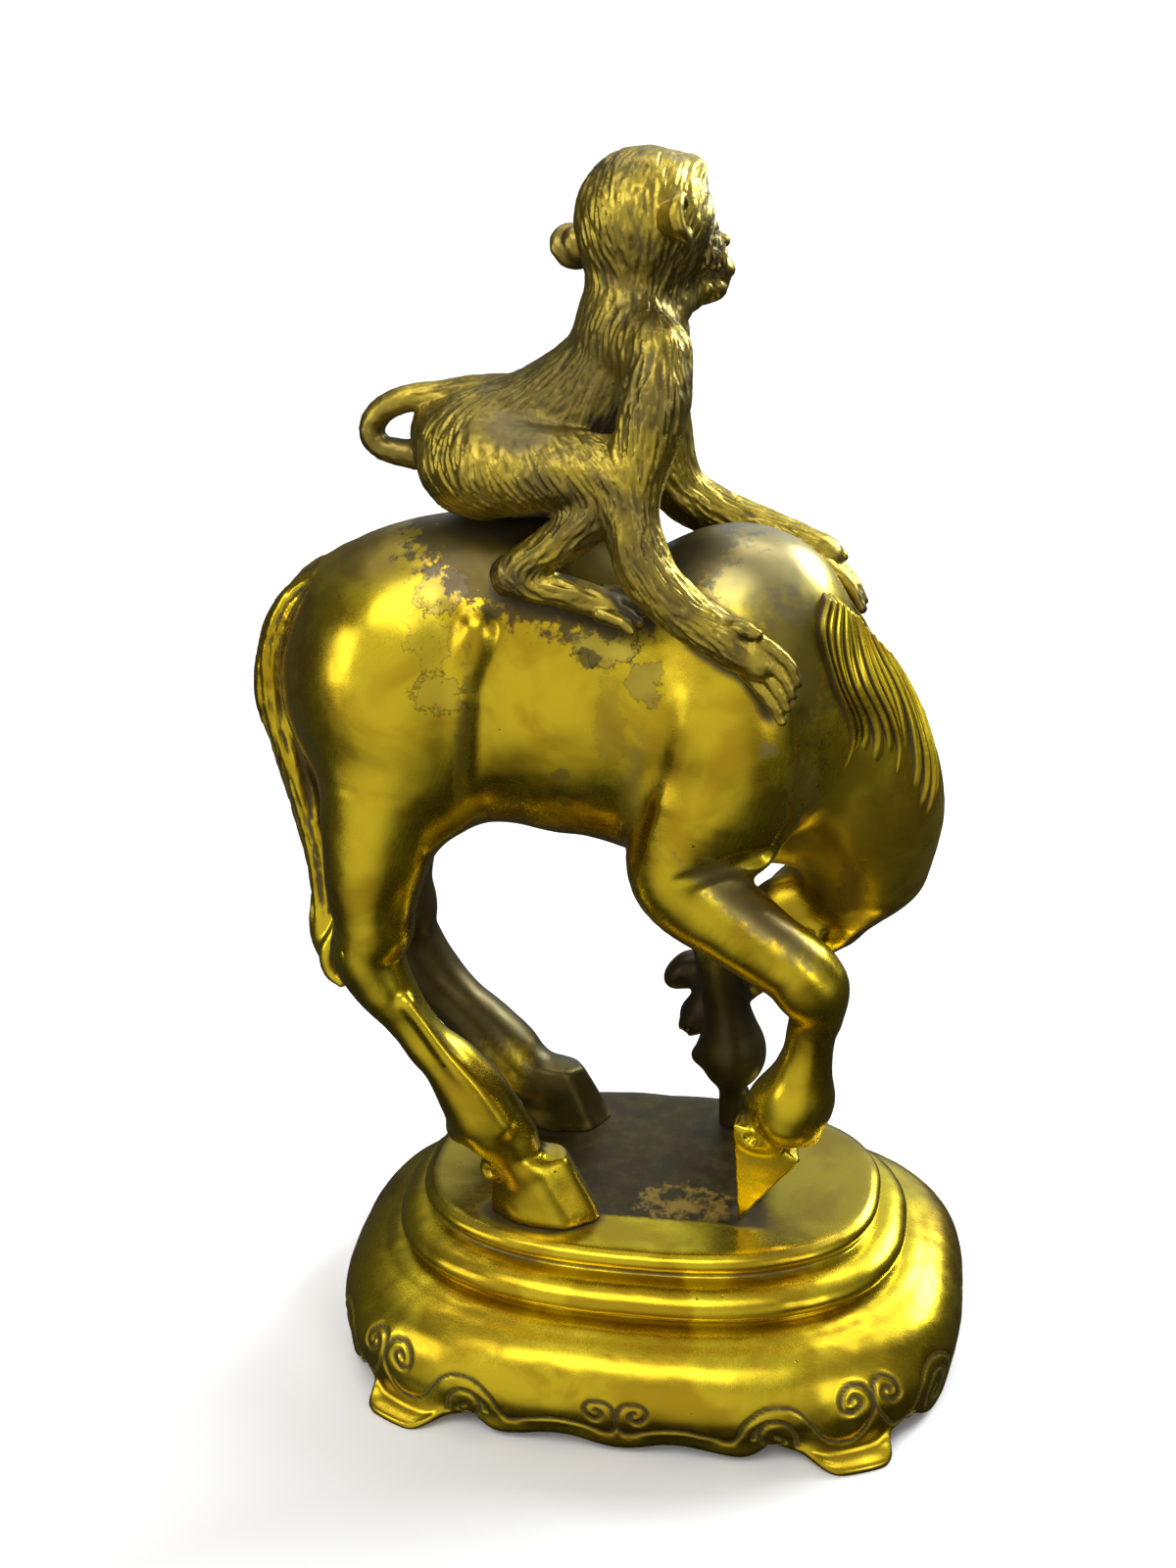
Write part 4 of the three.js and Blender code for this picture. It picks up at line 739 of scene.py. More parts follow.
def plinth_grid(columns, fine):
    """The profile's rows joined by a Catmull-Rom curve, each span cut by its length, and carried round
    the oblong."""
    angle = np.linspace(0, 2 * math.pi, columns, endpoint=False)
    rows = plinth_profile(angle)
    ends = np.concatenate([2 * rows[:1] - rows[1:2], rows, 2 * rows[-1:] - rows[-2:-1]])
    dense = []
    for n in range(len(rows) - 1):
        p0, p1, p2, p3 = ends[n:n + 4]
        middle = columns // 8
        parts = max(1, math.ceil(np.hypot(*(p2 - p1)[:2, middle]) / fine[n if n < len(fine) else -1]))
        t = (np.arange(parts) / parts)[:, None, None]
        dense.append(curve(p0, p1, p2, p3, t))
    dense = np.concatenate(dense + [rows[-1:]])
    x, y = oblong(angle[None, :], dense[:, 0], np.maximum(dense[:, 2], 2))
    points = np.stack([x, y, np.maximum(dense[:, 1], 0)], -1)
    return angle, dense, points


# Incised scrollwork of one half side: distance from the middle of the side, and height
SCROLLS = [
    [(0.1, 11.8), (1, 15.1), (3.1, 16.6), (6.2, 16.5), (7.6, 14.7), (6.6, 12.2), (4.6, 11.6), (3.5, 13.2),
     (4.7, 14.5)],
    [(0, 11.8), (0.2, 8.8), (2.6, 6.7), (8.5, 8.6), (15.2, 9.8), (22, 8.6), (27.6, 7), (29.8, 9.1),
     (31.7, 13.6), (36.3, 16.9), (41.2, 17.4), (44.7, 16), (47.3, 12.4), (50, 8.4), (53.5, 6.5),
     (58.2, 6.8), (61.8, 10.6), (63.8, 14.7), (63, 18.7), (61, 20.1), (58.3, 20.1), (55.6, 17.8),
     (55.5, 14.8), (58.3, 14), (60.7, 16), (59.2, 17.6), (57.7, 16.6)],
    [(33.4, 8.5), (34, 11.2), (37.2, 13.7), (40.6, 13.3), (43.2, 10.2), (44.3, 5.6)],
    [(35.6, 12.3), (34.9, 9.6), (36.4, 6.4), (39.2, 5.4), (41, 7.4), (38.9, 9.3)],
]


def scroll_depth(angle, points):
    """Depth of the scroll lines, 0 to 1: a bell curve of the distance to the nearest line, unrolled
    round the plinth."""
    x, y = oblong(angle, 0.5, 2.9)
    round_it = np.hypot(np.diff(x, append=x[:1]), np.diff(y, append=y[:1]))
    unrolled = np.concatenate([[0], np.cumsum(round_it)])
    quarter = unrolled[-1] / 4
    along = unrolled[:-1] % (2 * quarter)
    across = np.minimum(along, 2 * quarter - along)
    flat = quarter - SCROLL_CORNER
    side = np.where(across > flat, quarter - across, across * SCROLL_CORNER / flat)
    c = np.broadcast_to(side[None, :], points.shape[:2])
    z = points[..., 2]
    nearest = np.full(c.shape, 99.0)
    for line in SCROLLS:
        stations = flowing([(a, b, 0, 0) for a, b in line], 12)[:, :2]
        for a, b in stations:
            np.minimum(nearest, (c - a) ** 2 + (z - b) ** 2, out=nearest)
    return np.exp(-nearest / SCROLL_SPREAD)


def make_plinth():
    """The plinth's skin, with incised scrolls on its bulge and the slight unevenness of a hand-finished
    casting."""
    columns = 870
    spacing = [4, 2.6] + [1.5] * 20 + [0.78] * 10 + [3, 5, 9, 14]
    angle, rows, points = plinth_grid(columns, spacing)
    count = len(points)
    over = np.gradient(points, axis=0)
    turn = np.roll(points, -1, 1) - np.roll(points, 1, 1)
    out = np.cross(over, turn)
    out /= np.maximum(np.linalg.norm(out, axis=-1, keepdims=True), 1e-9)
    lowest = int(np.argmin(rows[:, 1].mean(1)))
    outer = (np.arange(count) < lowest)[:, None] & (points[..., 2] > 2.2)
    depth = np.zeros(points.shape[:2])
    band = np.arange(count)[(points[..., 2].min(1) < 23) & (np.arange(count) < lowest)]
    depth[band] = scroll_depth(angle, points[band])
    depth *= outer
    flat = points.reshape(-1, 3)
    uneven = 0.16 * speckle(flat, 9, 5) + 0.07 * speckle(flat, 3.5, 6)
    uneven = uneven.reshape(depth.shape) * (points[..., 2] > 3) * np.clip((50 - rows[:, 0]) / 20, 0, 1)
    points = points + out * (uneven - SCROLL_RELIEF * depth)[..., None]
    points[..., 2] = np.clip(points[..., 2], 0, DECK_TOP)
    around = np.arange(columns)
    quads = [np.stack([n * columns + around, (n + 1) * columns + around,
                       (n + 1) * columns + (around + 1) % columns, n * columns + (around + 1) % columns],
                      1) for n in range(count - 1)]
    return points, np.vstack(quads), depth, columns, lowest


def close_ends(points, quads, columns):
    """Flat caps over the first and last rings, each a grid of quads across the ring."""
    total = len(points)
    caps = []
    for start, flip in ((0, False), (total - columns, True)):
        half = columns // 2
        up = start + np.arange(half)
        down = start + (columns - 1 - np.arange(half))
        cap = np.stack([up[:-1], up[1:], down[1:], down[:-1]], 1)
        caps.append(cap[:, ::-1] if flip else cap)
    return np.vstack([quads] + caps)


# Guides for the hair of the horse's tail and far mane: a place, then the way the hair runs
HORSE_HAIR = [
    (-72, 0, 206, -1, 0, -0.35), (-84, 0, 197, -0.6, 0, -1), (-89, 0, 180, 0, 0, -1),
    (-85, 0, 162, 0.2, 0, -1), (-80, -1, 138, 0.2, 0, -1), (-77.5, -5, 115, 0, -0.1, -1),
    (-77.5, -8, 102, 0.1, -0.2, -1), (50, 14, 188, 0.3, 0.4, -1), (57, 15, 180, 0.3, 0.4, -1),
    (63, 15, 166, 0.2, 0.3, -1), (67, 14, 152, 0, 0.2, -1),
]


def between(points, places):
    """Points at fractional places along a row of points, on the Catmull-Rom curve through them."""
    points = np.asarray(points, float)
    padded = np.concatenate([2 * points[:1] - points[1:2], points, 2 * points[-1:] - points[-2:-1]])
    first = np.clip(np.floor(places).astype(int), 0, len(points) - 2)
    t = (places - first).reshape((-1,) + (1,) * (points.ndim - 1))
    p0, p1, p2, p3 = (padded[first + n] for n in range(4))
    return curve(p0, p1, p2, p3, t)


def make_mane(horse):
    """The near side's mane: a sheet between the mane's lines, laid on the neck and raised in rounded
    strands. A strand's height is the root of one minus the square of the distance from its middle; it
    ends at its own length, where the sheet dips into the neck. A second layer below closes it."""
    strands, wide, long = MANE_STRANDS, (18), (150)
    columns = strands * wide + 1
    across = np.linspace(0, 5, columns)
    along = np.linspace(0, 5, long)
    lines = between(NEAR_MANE, across)
    grid = between(np.swapaxes(lines, 0, 1), along)
    base = np.swapaxes(grid, 0, 1).reshape(-1, 3)
    for _ in range(3):
        base = base - horse.outward(base) * horse.at(base)[:, None]
    out = horse.outward(base, 1.5)
    s = np.repeat(across / 5 * strands, long)
    t = np.tile(along / 5, columns)
    s = s + 0.3 * speckle(np.stack([s / 3, t * 3, 0 * t], 1), 1, 41) * np.clip(t * 4, 0, 1)
    strand = np.clip(np.floor(s), 0, strands - 1)
    middle = 2 * (s - strand) - 1
    chance = speckle(np.stack([strand * 3.7, 0 * t, 0 * t], 1), 1, 42)
    length = 0.86 + 0.14 * chance
    ridge = np.sqrt(np.clip(1 - middle**2, 0, 1))
    fine = 0.05 * np.cos(middle * 7 + 4 * t + strand)
    taper = np.clip(t / 0.07, 0, 1) * np.clip(1 - (t / length) ** 5, -1, 1)
    narrow = np.clip(1 - np.abs(middle) ** 2 * np.clip((t / length - 0.6) * 2.5, 0, 2), 0, 1)
    height = np.clip(-0.5 + (0.2 + (2.5 + 0.4 * chance) * (ridge + fine) * narrow) * taper, -1, 3.4)
    points = np.concatenate([base + out * height[:, None], base - out * 2.2])
    top = np.arange(columns * long).reshape(columns, long)
    sheet = np.stack([top[:-1, :-1], top[1:, :-1], top[1:, 1:], top[:-1, 1:]], -1).reshape(-1, 4)
    rim = np.concatenate([top[:-1, 0], top[-1, :-1], top[:0:-1, -1], top[0, :0:-1]])
    ahead = np.roll(rim, -1)
    low = columns * long
    wall = np.stack([ahead, rim, rim + low, ahead + low], 1)
    quads = np.vstack([sheet, sheet[:, ::-1] + low, wall])
    a, b, c = (points[sheet[len(sheet) // 2, n]] for n in (0, 1, 2))
    if np.cross(b - a, c - b) @ out[sheet[len(sheet) // 2, 0]] < 0:
        quads = quads[:, ::-1]
    groove = np.concatenate([ridge * 4.6 - 4 + 3 * fine, np.full(low, -1)])
    return points, quads, groove


def monkey_hair():
    """Guides for the monkey's coat: places and directions on trunk, haunches, legs, arms, tail and
    head."""
    on = placed(SKULL, GAZE)
    axes = axes_of(GAZE)
    guides = []
    for side in (-1, 1):
        y = side
        guides += [
            (0, y * 9, 262, -0.5, y * 0.3, -1), (-2, y * 13, 250, -0.45, 0, -1),
            (-14, y * 12, 248, -0.9, y * 0.3, -0.7), (-26, y * 12, 247, -0.7, y * 0.5, -0.8),
            (-38, y * 10, 244, -0.5, y * 0.2, -1), (-44, y * 7, 236, 0, 0, -1),
            (-40, y * 12, 227, 0.7, y * 0.2, -0.8), (-30, y * 20, 240, 0.1, y * 0.2, -1),
            (-30, y * 17, 227, 0.8, 0, -0.7), (-18, y * 21, 241, 0.3, y * 0.2, -1),
            (-18, y * 24, 233, 0.55, 0, -0.85), (-8, y * 25, 238, 0.5, 0, -0.85),
            (2, y * 26, 238, 0.6, 0, -0.8), (-8, y * 20, 228, 0.8, 0, -0.6),
            (-6, y * 26, 224, -0.9, 0, -0.75), (-16, y * 26, 218, -0.9, 0, -0.6),
            (-22, y * 24, 212, 0.7, 0, -0.8), (-12, y * 25, 211, 1, 0, -0.25),
            (0, y * 25, 209, 1, 0, -0.3),
        ]
    guides += [
        (-8, 0, 262, -0.9, 0, -0.5), (-22, 0, 253, -1, 0, -0.4), (-36, 0, 250, -1, 0, -0.2),
        (9, 0, 256, -0.1, 0, -1), (11, -19, 262, 0, -0.3, -1), (13, -22, 250, -0.1, 0, -1),
        (10, -27, 240, -0.15, 0, -1), (8, -29, 228, 0.1, 0, -1), (12, -31, 216, 0.5, 0, -0.9),
        (22, -32, 207, 0.9, 0, -0.6), (30, -32, 202, 0.85, 0, -0.6), (6, 17, 262, 0, 0.3, -1),
        (10, 20, 250, 0, 0, -1), (8, 24, 236, 0.1, 0, -1), (12, 24, 223, 0.7, 0.1, -0.7),
        (24, 24, 217, 1, 0, -0.3), (36, 22, 212, 1, 0, -0.45), (44, 18, 208, 1, 0, -0.5),
        (-45, 0, 250, -1, 0, 0), (-55, 0, 248, -0.8, 0, -0.5), (-60, 0, 241, 0, 0, -1),
        (-55, 0, 233, 0.9, 0, -0.3), (-46, 0, 231, 1, 0, 0), (-3, 0, 272, -0.4, 0, -1),
        (5, -9, 270, -0.1, -0.3, -1), (8, 9, 270, 0, 0.3, -1),
    ]
    for forward, left, up, a, b, c in (
        (13, 0, 12, -0.9, 0, 0.5), (4, 0, 16, -1, 0, -0.1), (-8, 0, 13, -0.8, 0, -0.7),
        (-15, 0, 3, -0.2, 0, -1), (-13, 0, -8, 0.3, 0, -1), (5, -12, 9, -0.7, -0.2, -0.6),
        (-5, -13, 7, -0.6, -0.1, -0.8), (-9, -11, -4, -0.1, 0, -1), (3, -14, -2, -0.4, 0, -1),
        (5, -12, -10, -0.3, 0.2, -1), (5, 12, 9, -0.7, 0.2, -0.6), (-5, 13, 7, -0.6, 0.1, -0.8),
        (-9, 11, -4, -0.1, 0, -1), (3, 14, -2, -0.4, 0, -1), (5, 12, -10, -0.3, -0.2, -1),
        (15, -7, -8, 0.2, -0.6, -0.8), (15, 7, -8, 0.2, 0.6, -0.8), (17, 0, 1, 0.1, 0, -1),
    ):
        way = np.array([a, b, c]) @ axes
        guides.append(on(forward, left, up) + tuple(way))
    return guides


def make_horse(horse):
    """The horse's skin with grooved mane and tail, rough seams and the slight unevenness of hand
    finishing."""
    points, quads = horse.skin()
    out = horse.outward(points)
    dock = near(points, (-79, -2, 160), (13, 9, 55),
                0.2) * (points[:, 0] < -66 - 0.12 * (points[:, 2] - 150).clip(0))
    mane = np.zeros(len(points))
    for root, middle, tip in FAR_MANE:
        for x, y, z, _ in lock(root, middle, tip, 2.1, 9):
            away = (points[:, 0] - x) ** 2 + (points[:, 1] - y) ** 2 + (points[:, 2] - z) ** 2
            mane = np.maximum(mane, np.exp(-((away / 14) ** 2)))
    hair = np.maximum(mane, dock)
    depth = np.zeros(len(points))
    grown = hair > 0.02
    depth[grown] = np.tanh(strokes(horse, points[grown], HORSE_HAIR, HAIR_CELL, HAIR_LENGTH,
                                   11)) * hair[grown]
    uneven = 0.2 * speckle(points, 11, 1) + 0.1 * speckle(points, 4.5, 2)
    points = points + out * (uneven * (points[:, 2] > 46) + HAIR_RELIEF * depth)[:, None]
    points[:, 2] = np.maximum(points[:, 2], DECK_TOP + 0.1)
    return points, quads, depth


def make_monkey(monkey):
    """The monkey's skin with its whole coat carved in strokes, finer and shallower on face, hands and
    feet."""
    points, quads = monkey.skin()
    out = monkey.outward(points)
    on = placed(SKULL, GAZE)
    bare = near(points, on(17, 0, -3), (9, 9, 13), 0.3)
    for centre, radii in (((37, -30, 196), (8, 6, 9)), ((49, 15, 202), (8, 9, 8)),
                          ((5, -23, 206), (7, 7, 5)), ((5, 23, 206), (7, 7, 5)),
                          ((-54, 0, 241), (9, 6, 10)), ((-20, -18, 245), (9, 6, 5)),
                          (on(-5, -19, -1), (6, 5, 7)), (on(-5, 19, -1), (6, 5, 7))):
        bare = np.maximum(bare, near(points, centre, radii, 0.4))
    coat = strokes(monkey, points, monkey_hair(), FUR_CELL, FUR_LENGTH, 21)
    depth = np.tanh(0.9 * coat) * (1 - 0.85 * bare)
    local = (points - np.array(SKULL)) @ axes_of(GAZE).T
    brow = near(points, on(10.5, 0, 9), (5, 10, 6), 0.3)
    wrinkle = brow * np.cos(local[:, 2] * 2.6 + 0.8 * np.cos(local[:, 1] * 0.5)) * 0.2
    # Crinkled folds of the cheeks, in arcs round the corners of the mouth
    arc = np.hypot(local[:, 0] - 19, local[:, 2] + 9.5)
    cheek = np.maximum(near(points, on(13.5, -7, -6.5), (7, 5, 8), 0.4),
                       near(points, on(13.5, 7, -6.5), (7, 5, 8), 0.4))
    crease = np.clip(1.2 - 3.4
                     * np.abs(speckle(np.stack([arc * 1.5, local[:, 1] * 0.6, local[:, 2] * 0.5], 1), 1.5,
                                      51)), -1, 1)
    wrinkle = wrinkle - cheek * (arc > 3.5) * np.clip(crease, 0, 1) * 0.6
    fine = speckle(points, 0.9, 31) * bare * 0.12 + speckle(points, 5, 32) * 0.15 + wrinkle
    points = points + out * (FUR_RELIEF * depth + fine)[:, None]
    return points, quads, depth + 0.28 - 2 * cheek * np.clip(crease, 0, 1) * (arc > 3.5) + wrinkle


class Number:
    """A number on a socket; Python's operators on it add the Math nodes that work it out."""

    def __init__(self, tree, socket):
        self.tree = tree
        self.socket = socket

    def maths(self, operation, *values):
        return self.tree.maths(operation, *values)

    def __add__(self, other):
        return self.maths("ADD", self, other)

    def __sub__(self, other):
        return self.maths("SUBTRACT", self, other)

    def __rsub__(self, other):
        return self.maths("SUBTRACT", other, self)

    def __mul__(self, other):
        return self.maths("MULTIPLY", self, other)

    __radd__ = __add__
    __rmul__ = __mul__


class Nodes:
    """The nodes of a material or of the surroundings."""

    def __init__(self, owner):
        owner.use_nodes = True
        self.nodes = owner.node_tree.nodes
        self.links = owner.node_tree.links

    def put(self, socket, value):
        """Links a socket or Number to an input, or sets a plain value on it."""
        value = value.socket if isinstance(value, Number) else value
        if isinstance(value, bpy.types.NodeSocket):
            self.links.new(value, socket)
        else:
            socket.default_value = value

    def add(self, kind, settings=None, inputs=None):
        """Any node: its settings first, then the values or links of its sockets by name or number."""
        node = self.nodes.new("ShaderNode" + kind)
        for key, value in (settings or {}).items():
            setattr(node, key, value)
        for key, value in (inputs or {}).items():
            self.put(node.inputs[key], value)
        return node

    def maths(self, operation, *values):
        node = self.add("Math", {"operation": operation}, dict(enumerate(values)))
        return Number(self, node.outputs[0])

    def smooth(self, value, low, high):
        """Eases from 0 at low to 1 at high."""
        node = self.add("MapRange", {"interpolation_type": "SMOOTHSTEP"},
                        {"Value": value, "From Min": low, "From Max": high})
        return Number(self, node.outputs["Result"])


class Finish(Nodes):
    """A material, and what its nodes are worked out from."""

    def __init__(self, name):
        self.material = bpy.data.materials.new(name)
        super().__init__(self.material)
        self.shader = self.nodes["Principled BSDF"]

    def attribute(self, name):
        return Number(self, self.add("Attribute", {"attribute_name": name}).outputs["Fac"])

    def where(self, centre=(0, 0, 0), turn=(0, 0, 0), size=(1, 1, 1)):
        """Object coordinates from a centre, in a frame turned in degrees, counted in sizes of so many
        millimetres."""
        place = [(centre[0] + CENTRING) * MILLIMETRE, centre[1] * MILLIMETRE, centre[2] * MILLIMETRE]
        return self.add("Mapping", {"vector_type": "TEXTURE"}, {
            "Vector": self.add("TexCoord").outputs["Object"], "Location": place,
            "Rotation": [math.radians(angle) for angle in turn],
            "Scale": [MILLIMETRE * value for value in size],
        }).outputs[0]

    def noise(self, place, scale, detail=2.0, rough=0.5, warp=0.0):
        node = self.add("TexNoise", {},
                        {"Vector": place, "Scale": scale, "Detail": detail, "Roughness": rough,
                         "Distortion": warp})
        return Number(self, node.outputs["Fac"])

    def blend(self, share, first, second):
        """A colour between two, by a share."""
        node = self.add("Mix", {"data_type": "RGBA", "clamp_factor": True}, {0: share})
        self.put(node.inputs[6], first)
        self.put(node.inputs[7], second)
        return node.outputs[2]

    def patch(self, centre, radii, tilt=0.0, ragged=0.3):
        """Distance from a centre over the radii of an ellipsoid tilted about Y, made uneven by noise:
        one at its edge."""
        place = self.where(centre, (0, tilt, 0), radii)
        away = Number(self, self.add("VectorMath", {"operation": "LENGTH"}, {0: place}).outputs["Value"])
        return away + (self.noise(self.where(), 0.34, 5, 0.65) - 0.5) * (2 * ragged)


def bronze(name, gold, shade, dark, patches=(), grooves=0.93, brushed=1.0, polish=0.27, deck=False):
    """Polished bronze: warm gold with browner clouds, dark patina in grooves and shut-in places, partly
    painted shade where the hollows are deep or one part is under another, long fine brush marks in two
    directions, small casting pits, and patches as (centre, radii, tilt, ragged, softness, colour,
    strength, rim): stains and tones, painted shade and a painted reflection."""
    finish = Finish(name)
    everywhere = finish.where()
    shut = finish.attribute("shut")
    stroke = finish.attribute("stroke")
    cloud = finish.noise(everywhere, 0.045, 3, 0.55, 0.6)
    fine = finish.noise(everywhere, 0.6, 4, 0.6)
    mottle = finish.noise(everywhere, 0.22, 4, 0.65)
    colour = finish.blend(finish.smooth(cloud, 0.42, 0.62), gold, shade)
    cover = finish.maths("MULTIPLY", fine, 0)
    for centre, radii, tilt, ragged, softness, tone, strength, rim in patches:
        edge = finish.patch(centre, radii, tilt, ragged)
        inside = (1 - finish.smooth(edge, 1 - softness, 1 + softness)) * strength
        colour = finish.blend(inside, colour, tone)
        cover = finish.maths("MAXIMUM", cover, inside * 0.55)
        if rim:
            line = 1 - finish.smooth(finish.maths("ABSOLUTE", edge - 1), 0.02, 0.09)
            colour = finish.blend(line * rim, colour, RIM)
    if deck:
        colour, worn = deck_patina(finish, colour, mottle, fine)
        cover = finish.maths("MAXIMUM", cover, worn)
    # Patina in the grooves, and painted shade in the deep hollows, on the horse's back under the monkey and
    # on the deck under the horse, from the shut-in values
    patina = finish.smooth(shut + (cloud - 0.5) * 0.3 + (mottle - 0.5) * 0.25, 0.38, 0.8)
    groove = finish.smooth(stroke * -1.0 + (fine - 0.5) * 0.5, 0.05, 0.75) * grooves
    patina_and_shade = finish.maths("MAXIMUM", patina * 0.93, groove)
    colour = finish.blend(patina_and_shade, colour,
                          finish.blend(mottle, dark, [value * 1.8 for value in dark[:3]] + [1]))
    cover = finish.maths("MAXIMUM", cover, patina_and_shade)
    marks = finish.noise(finish.where(turn=(0, 24, 8), size=(0.55, 0.55, 9)), 1, 2, 0.6)
    cross = finish.noise(finish.where(turn=(0, 10, 0), size=(11, 0.6, 0.5)), 1, 2, 0.6)
    brush = Number(finish, finish.add("RGBToBW", {}, {
        0: finish.blend(finish.smooth(cloud, 0.45, 0.55), marks.socket, cross.socket)}).outputs[0])
    pits = finish.add("TexVoronoi", {"feature": "F1"}, {"Vector": everywhere, "Scale": 0.16})
    picked = Number(finish, finish.add("SeparateColor", {}, {0: pits.outputs["Color"]}).outputs[0])
    hole = (1
            - finish.smooth(Number(finish, pits.outputs["Distance"]), 0.03,
                            0.065)) * finish.smooth(picked, 0.78, 0.8)
    colour = finish.blend(hole * 0.85, colour, PIT)
    roughness = polish + (brush - 0.5) * (0.16 * brushed) + cover * 0.26 + (mottle - 0.5) * 0.16
    height = brush * (0.03 * brushed) + mottle * 0.05 - hole * 0.5 + cover * (fine - 0.5) * 0.08
    bump = finish.add("Bump", {}, {"Strength": 0.35, "Distance": 0.0006, "Height": height})
    shader = finish.shader
    finish.put(shader.inputs["Base Color"], colour)
    finish.put(shader.inputs["Roughness"], roughness)
    finish.put(shader.inputs["Metallic"], 1 - cover * 0.35)
    finish.put(shader.inputs["Normal"], bump.outputs[0])
    shader.inputs["Coat Weight"].default_value = 0.05
    shader.inputs["Coat Roughness"].default_value = 0.3
    return finish.material


def deck_patina(finish, colour, mottle, fine):
    """The deck's dark patina behind a straight front edge, its dull ends, and the broken brown patch at
    the front."""
    place = finish.add("SeparateXYZ", {}, {0: finish.where()})
    x, y, z = (Number(finish, place.outputs[n]) for n in range(3))
    wander = (mottle - 0.5) * 7
    top = finish.smooth(z, DECK_TOP - 1.2, DECK_TOP - 0.3)
    middle = 1 - finish.smooth(finish.maths("ABSOLUTE", x + 1) + wander, 30, 36)
    behind = finish.smooth(y + (mottle - 0.5) * 2, -22, -20.6)
    worn = top * middle * behind
    colour = finish.blend(top * (1 - middle) * 0.5, colour, DECK_DULL)
    colour = finish.blend(worn * 0.95, colour,
                          finish.blend(finish.smooth(mottle, 0.4, 0.7), DECK_DARK, DECK_BROWN))
    broken = 1 - finish.smooth(finish.patch((12, -14, DECK_TOP), (15, 9, 20), 0, 0.75), 0.75, 0.95)
    broken = broken * top * finish.smooth(mottle + (fine - 0.5) * 0.5, 0.38, 0.62) * 0.85
    return finish.blend(broken, colour, DECK_BARE), worn * 0.6


def dress(made, node, material):
    """Gives a piece its finish and lets it stand for its solid."""
    made.data.materials.clear()
    made.data.materials.append(material)
    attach(made, "root")
    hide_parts(node)


def make_stage():
    """A pale floor that sweeps up far behind the piece: a quarter circle between level and upright,
    carried sideways."""
    along = np.linspace(-9, 9, 25)
    turn = np.linspace(0, math.pi / 2, 17)
    y = np.concatenate([[-6, -2, 0, 2], 3 + 2.5 * np.sin(turn), [5.5]])
    z = np.concatenate([[0, 0, 0, 0], 2.5 - 2.5 * np.cos(turn), [9]])
    points = np.stack([np.repeat(along, len(y)), np.tile(y, len(along)), np.tile(z, len(along))], 1)
    n = np.arange(len(along) - 1)[:, None] * len(y) + np.arange(len(y) - 1)[None, :]
    quads = np.stack([n, n + len(y), n + len(y) + 1, n + 1], -1).reshape(-1, 4)
    mesh = bpy.data.meshes.new("floor")
    mesh.from_pydata(points.tolist(), [], quads.tolist())
    shade_smooth(mesh)
    floor = bpy.data.objects.new("floor", mesh)
    bpy.context.scene.collection.objects.link(floor)
    paper = Finish("floor_paper")
    paper.shader.inputs["Base Color"].default_value = (0.86, 0.86, 0.86, 1)
    paper.shader.inputs["Roughness"].default_value = 0.9
    paper.shader.inputs["Specular IOR Level"].default_value = 0.1
    mesh.materials.append(paper.material)
    floor.visible_glossy = False


def lamp(name, place, aim, size, power, colour=(1, 1, 1)):
    """A soft rectangular light at a place, turned to face a point."""
    data = bpy.data.lights.new(name, "AREA")
    data.shape = "RECTANGLE"
    data.size, data.size_y = size
    data.energy = power
    data.color = colour
    lit = bpy.data.objects.new(name, data)
    lit.location = place
    lit.rotation_euler = (Vector(aim) - Vector(place)).to_track_quat("-Z", "Y").to_euler()
    bpy.context.scene.collection.objects.link(lit)


def make_lights():
    """The room round the piece, given by direction: a broad soft glow in front and one to the right of
    it, a cool window behind, a pale ceiling and a faint light from all round; then the lamps: the
    window behind on the right, one over the piece, a weak one on each side, and one that lights the
    backdrop."""
    world = bpy.data.worlds.new("surrounding")
    bpy.context.scene.world = world
    room = Nodes(world)
    way = room.add("TexCoord").outputs["Generated"]
    total = None
    for direction, low, high, colour in (
        ((-0.3, -0.93, 0.05), 0.5, 0.98, (0.78, 0.75, 0.68)),
        ((0.75, -0.6, 0.3), 0.75, 1, (0.35, 0.35, 0.34)), ((0.1, 0.9, 0.45), 0.75, 1, (0.75, 0.85, 1)),
        ((0, 0, 1), 0.5, 1, (0.5, 0.5, 0.5)), ((0, 0, 1), -1.8, 1, (0.1, 0.1, 0.095)),
    ):
        turned = room.add("VectorMath", {"operation": "DOT_PRODUCT"},
                          {0: way, 1: Vector(direction).normalized()})
        glow = room.smooth(turned.outputs["Value"], low, high)
        tinted = room.add("VectorMath", {"operation": "SCALE"}, {0: colour, "Scale": glow}).outputs[0]
        total = room.add("VectorMath", {}, {0: total, 1: tinted}).outputs[0] if total else tinted
    room.put(room.nodes["Background"].inputs["Color"], total)
    middle = (0, 0, 0.15)
    lamp("window", (0.85, 0.75, 0.75), middle, (0.6, 0.45), 20, (0.9, 0.95, 1))
    lamp("over", (-0.2, -0.6, 1.1), middle, (0.8, 0.5), 5)
    lamp("left", (-1.1, -0.7, 0.5), middle, (0.4, 0.7), 3)
    lamp("right", (0.9, -0.9, 0.45), middle, (0.3, 0.8), 2.5)
    lamp("behind", (0, 1.6, 4), (0, 5, 1.5), (4, 3), 200)


def make_camera():
    """The photograph's viewing angle: 12 degrees to the horse's front of square on, 24 degrees from
    above."""
    data = bpy.data.cameras.new("camera")
    data.lens = 1900 / 1600 * 36
    data.clip_end = 40
    camera = bpy.data.objects.new("camera", data)
    right, up, back = (0.9803, 0.1922, -0.0451), (-0.0375, 0.4059, 0.9131), (0.1938, -0.8935, 0.4052)
    turned = Matrix([[r, u, b] for r, u, b in zip(right, up, back)])
    camera.matrix_world = Matrix.Translation((0.0813, -0.4008,
                                              0.3361)) @ turned.to_quaternion().to_matrix().to_4x4()
    bpy.context.scene.collection.objects.link(camera)
    bpy.context.scene.camera = camera


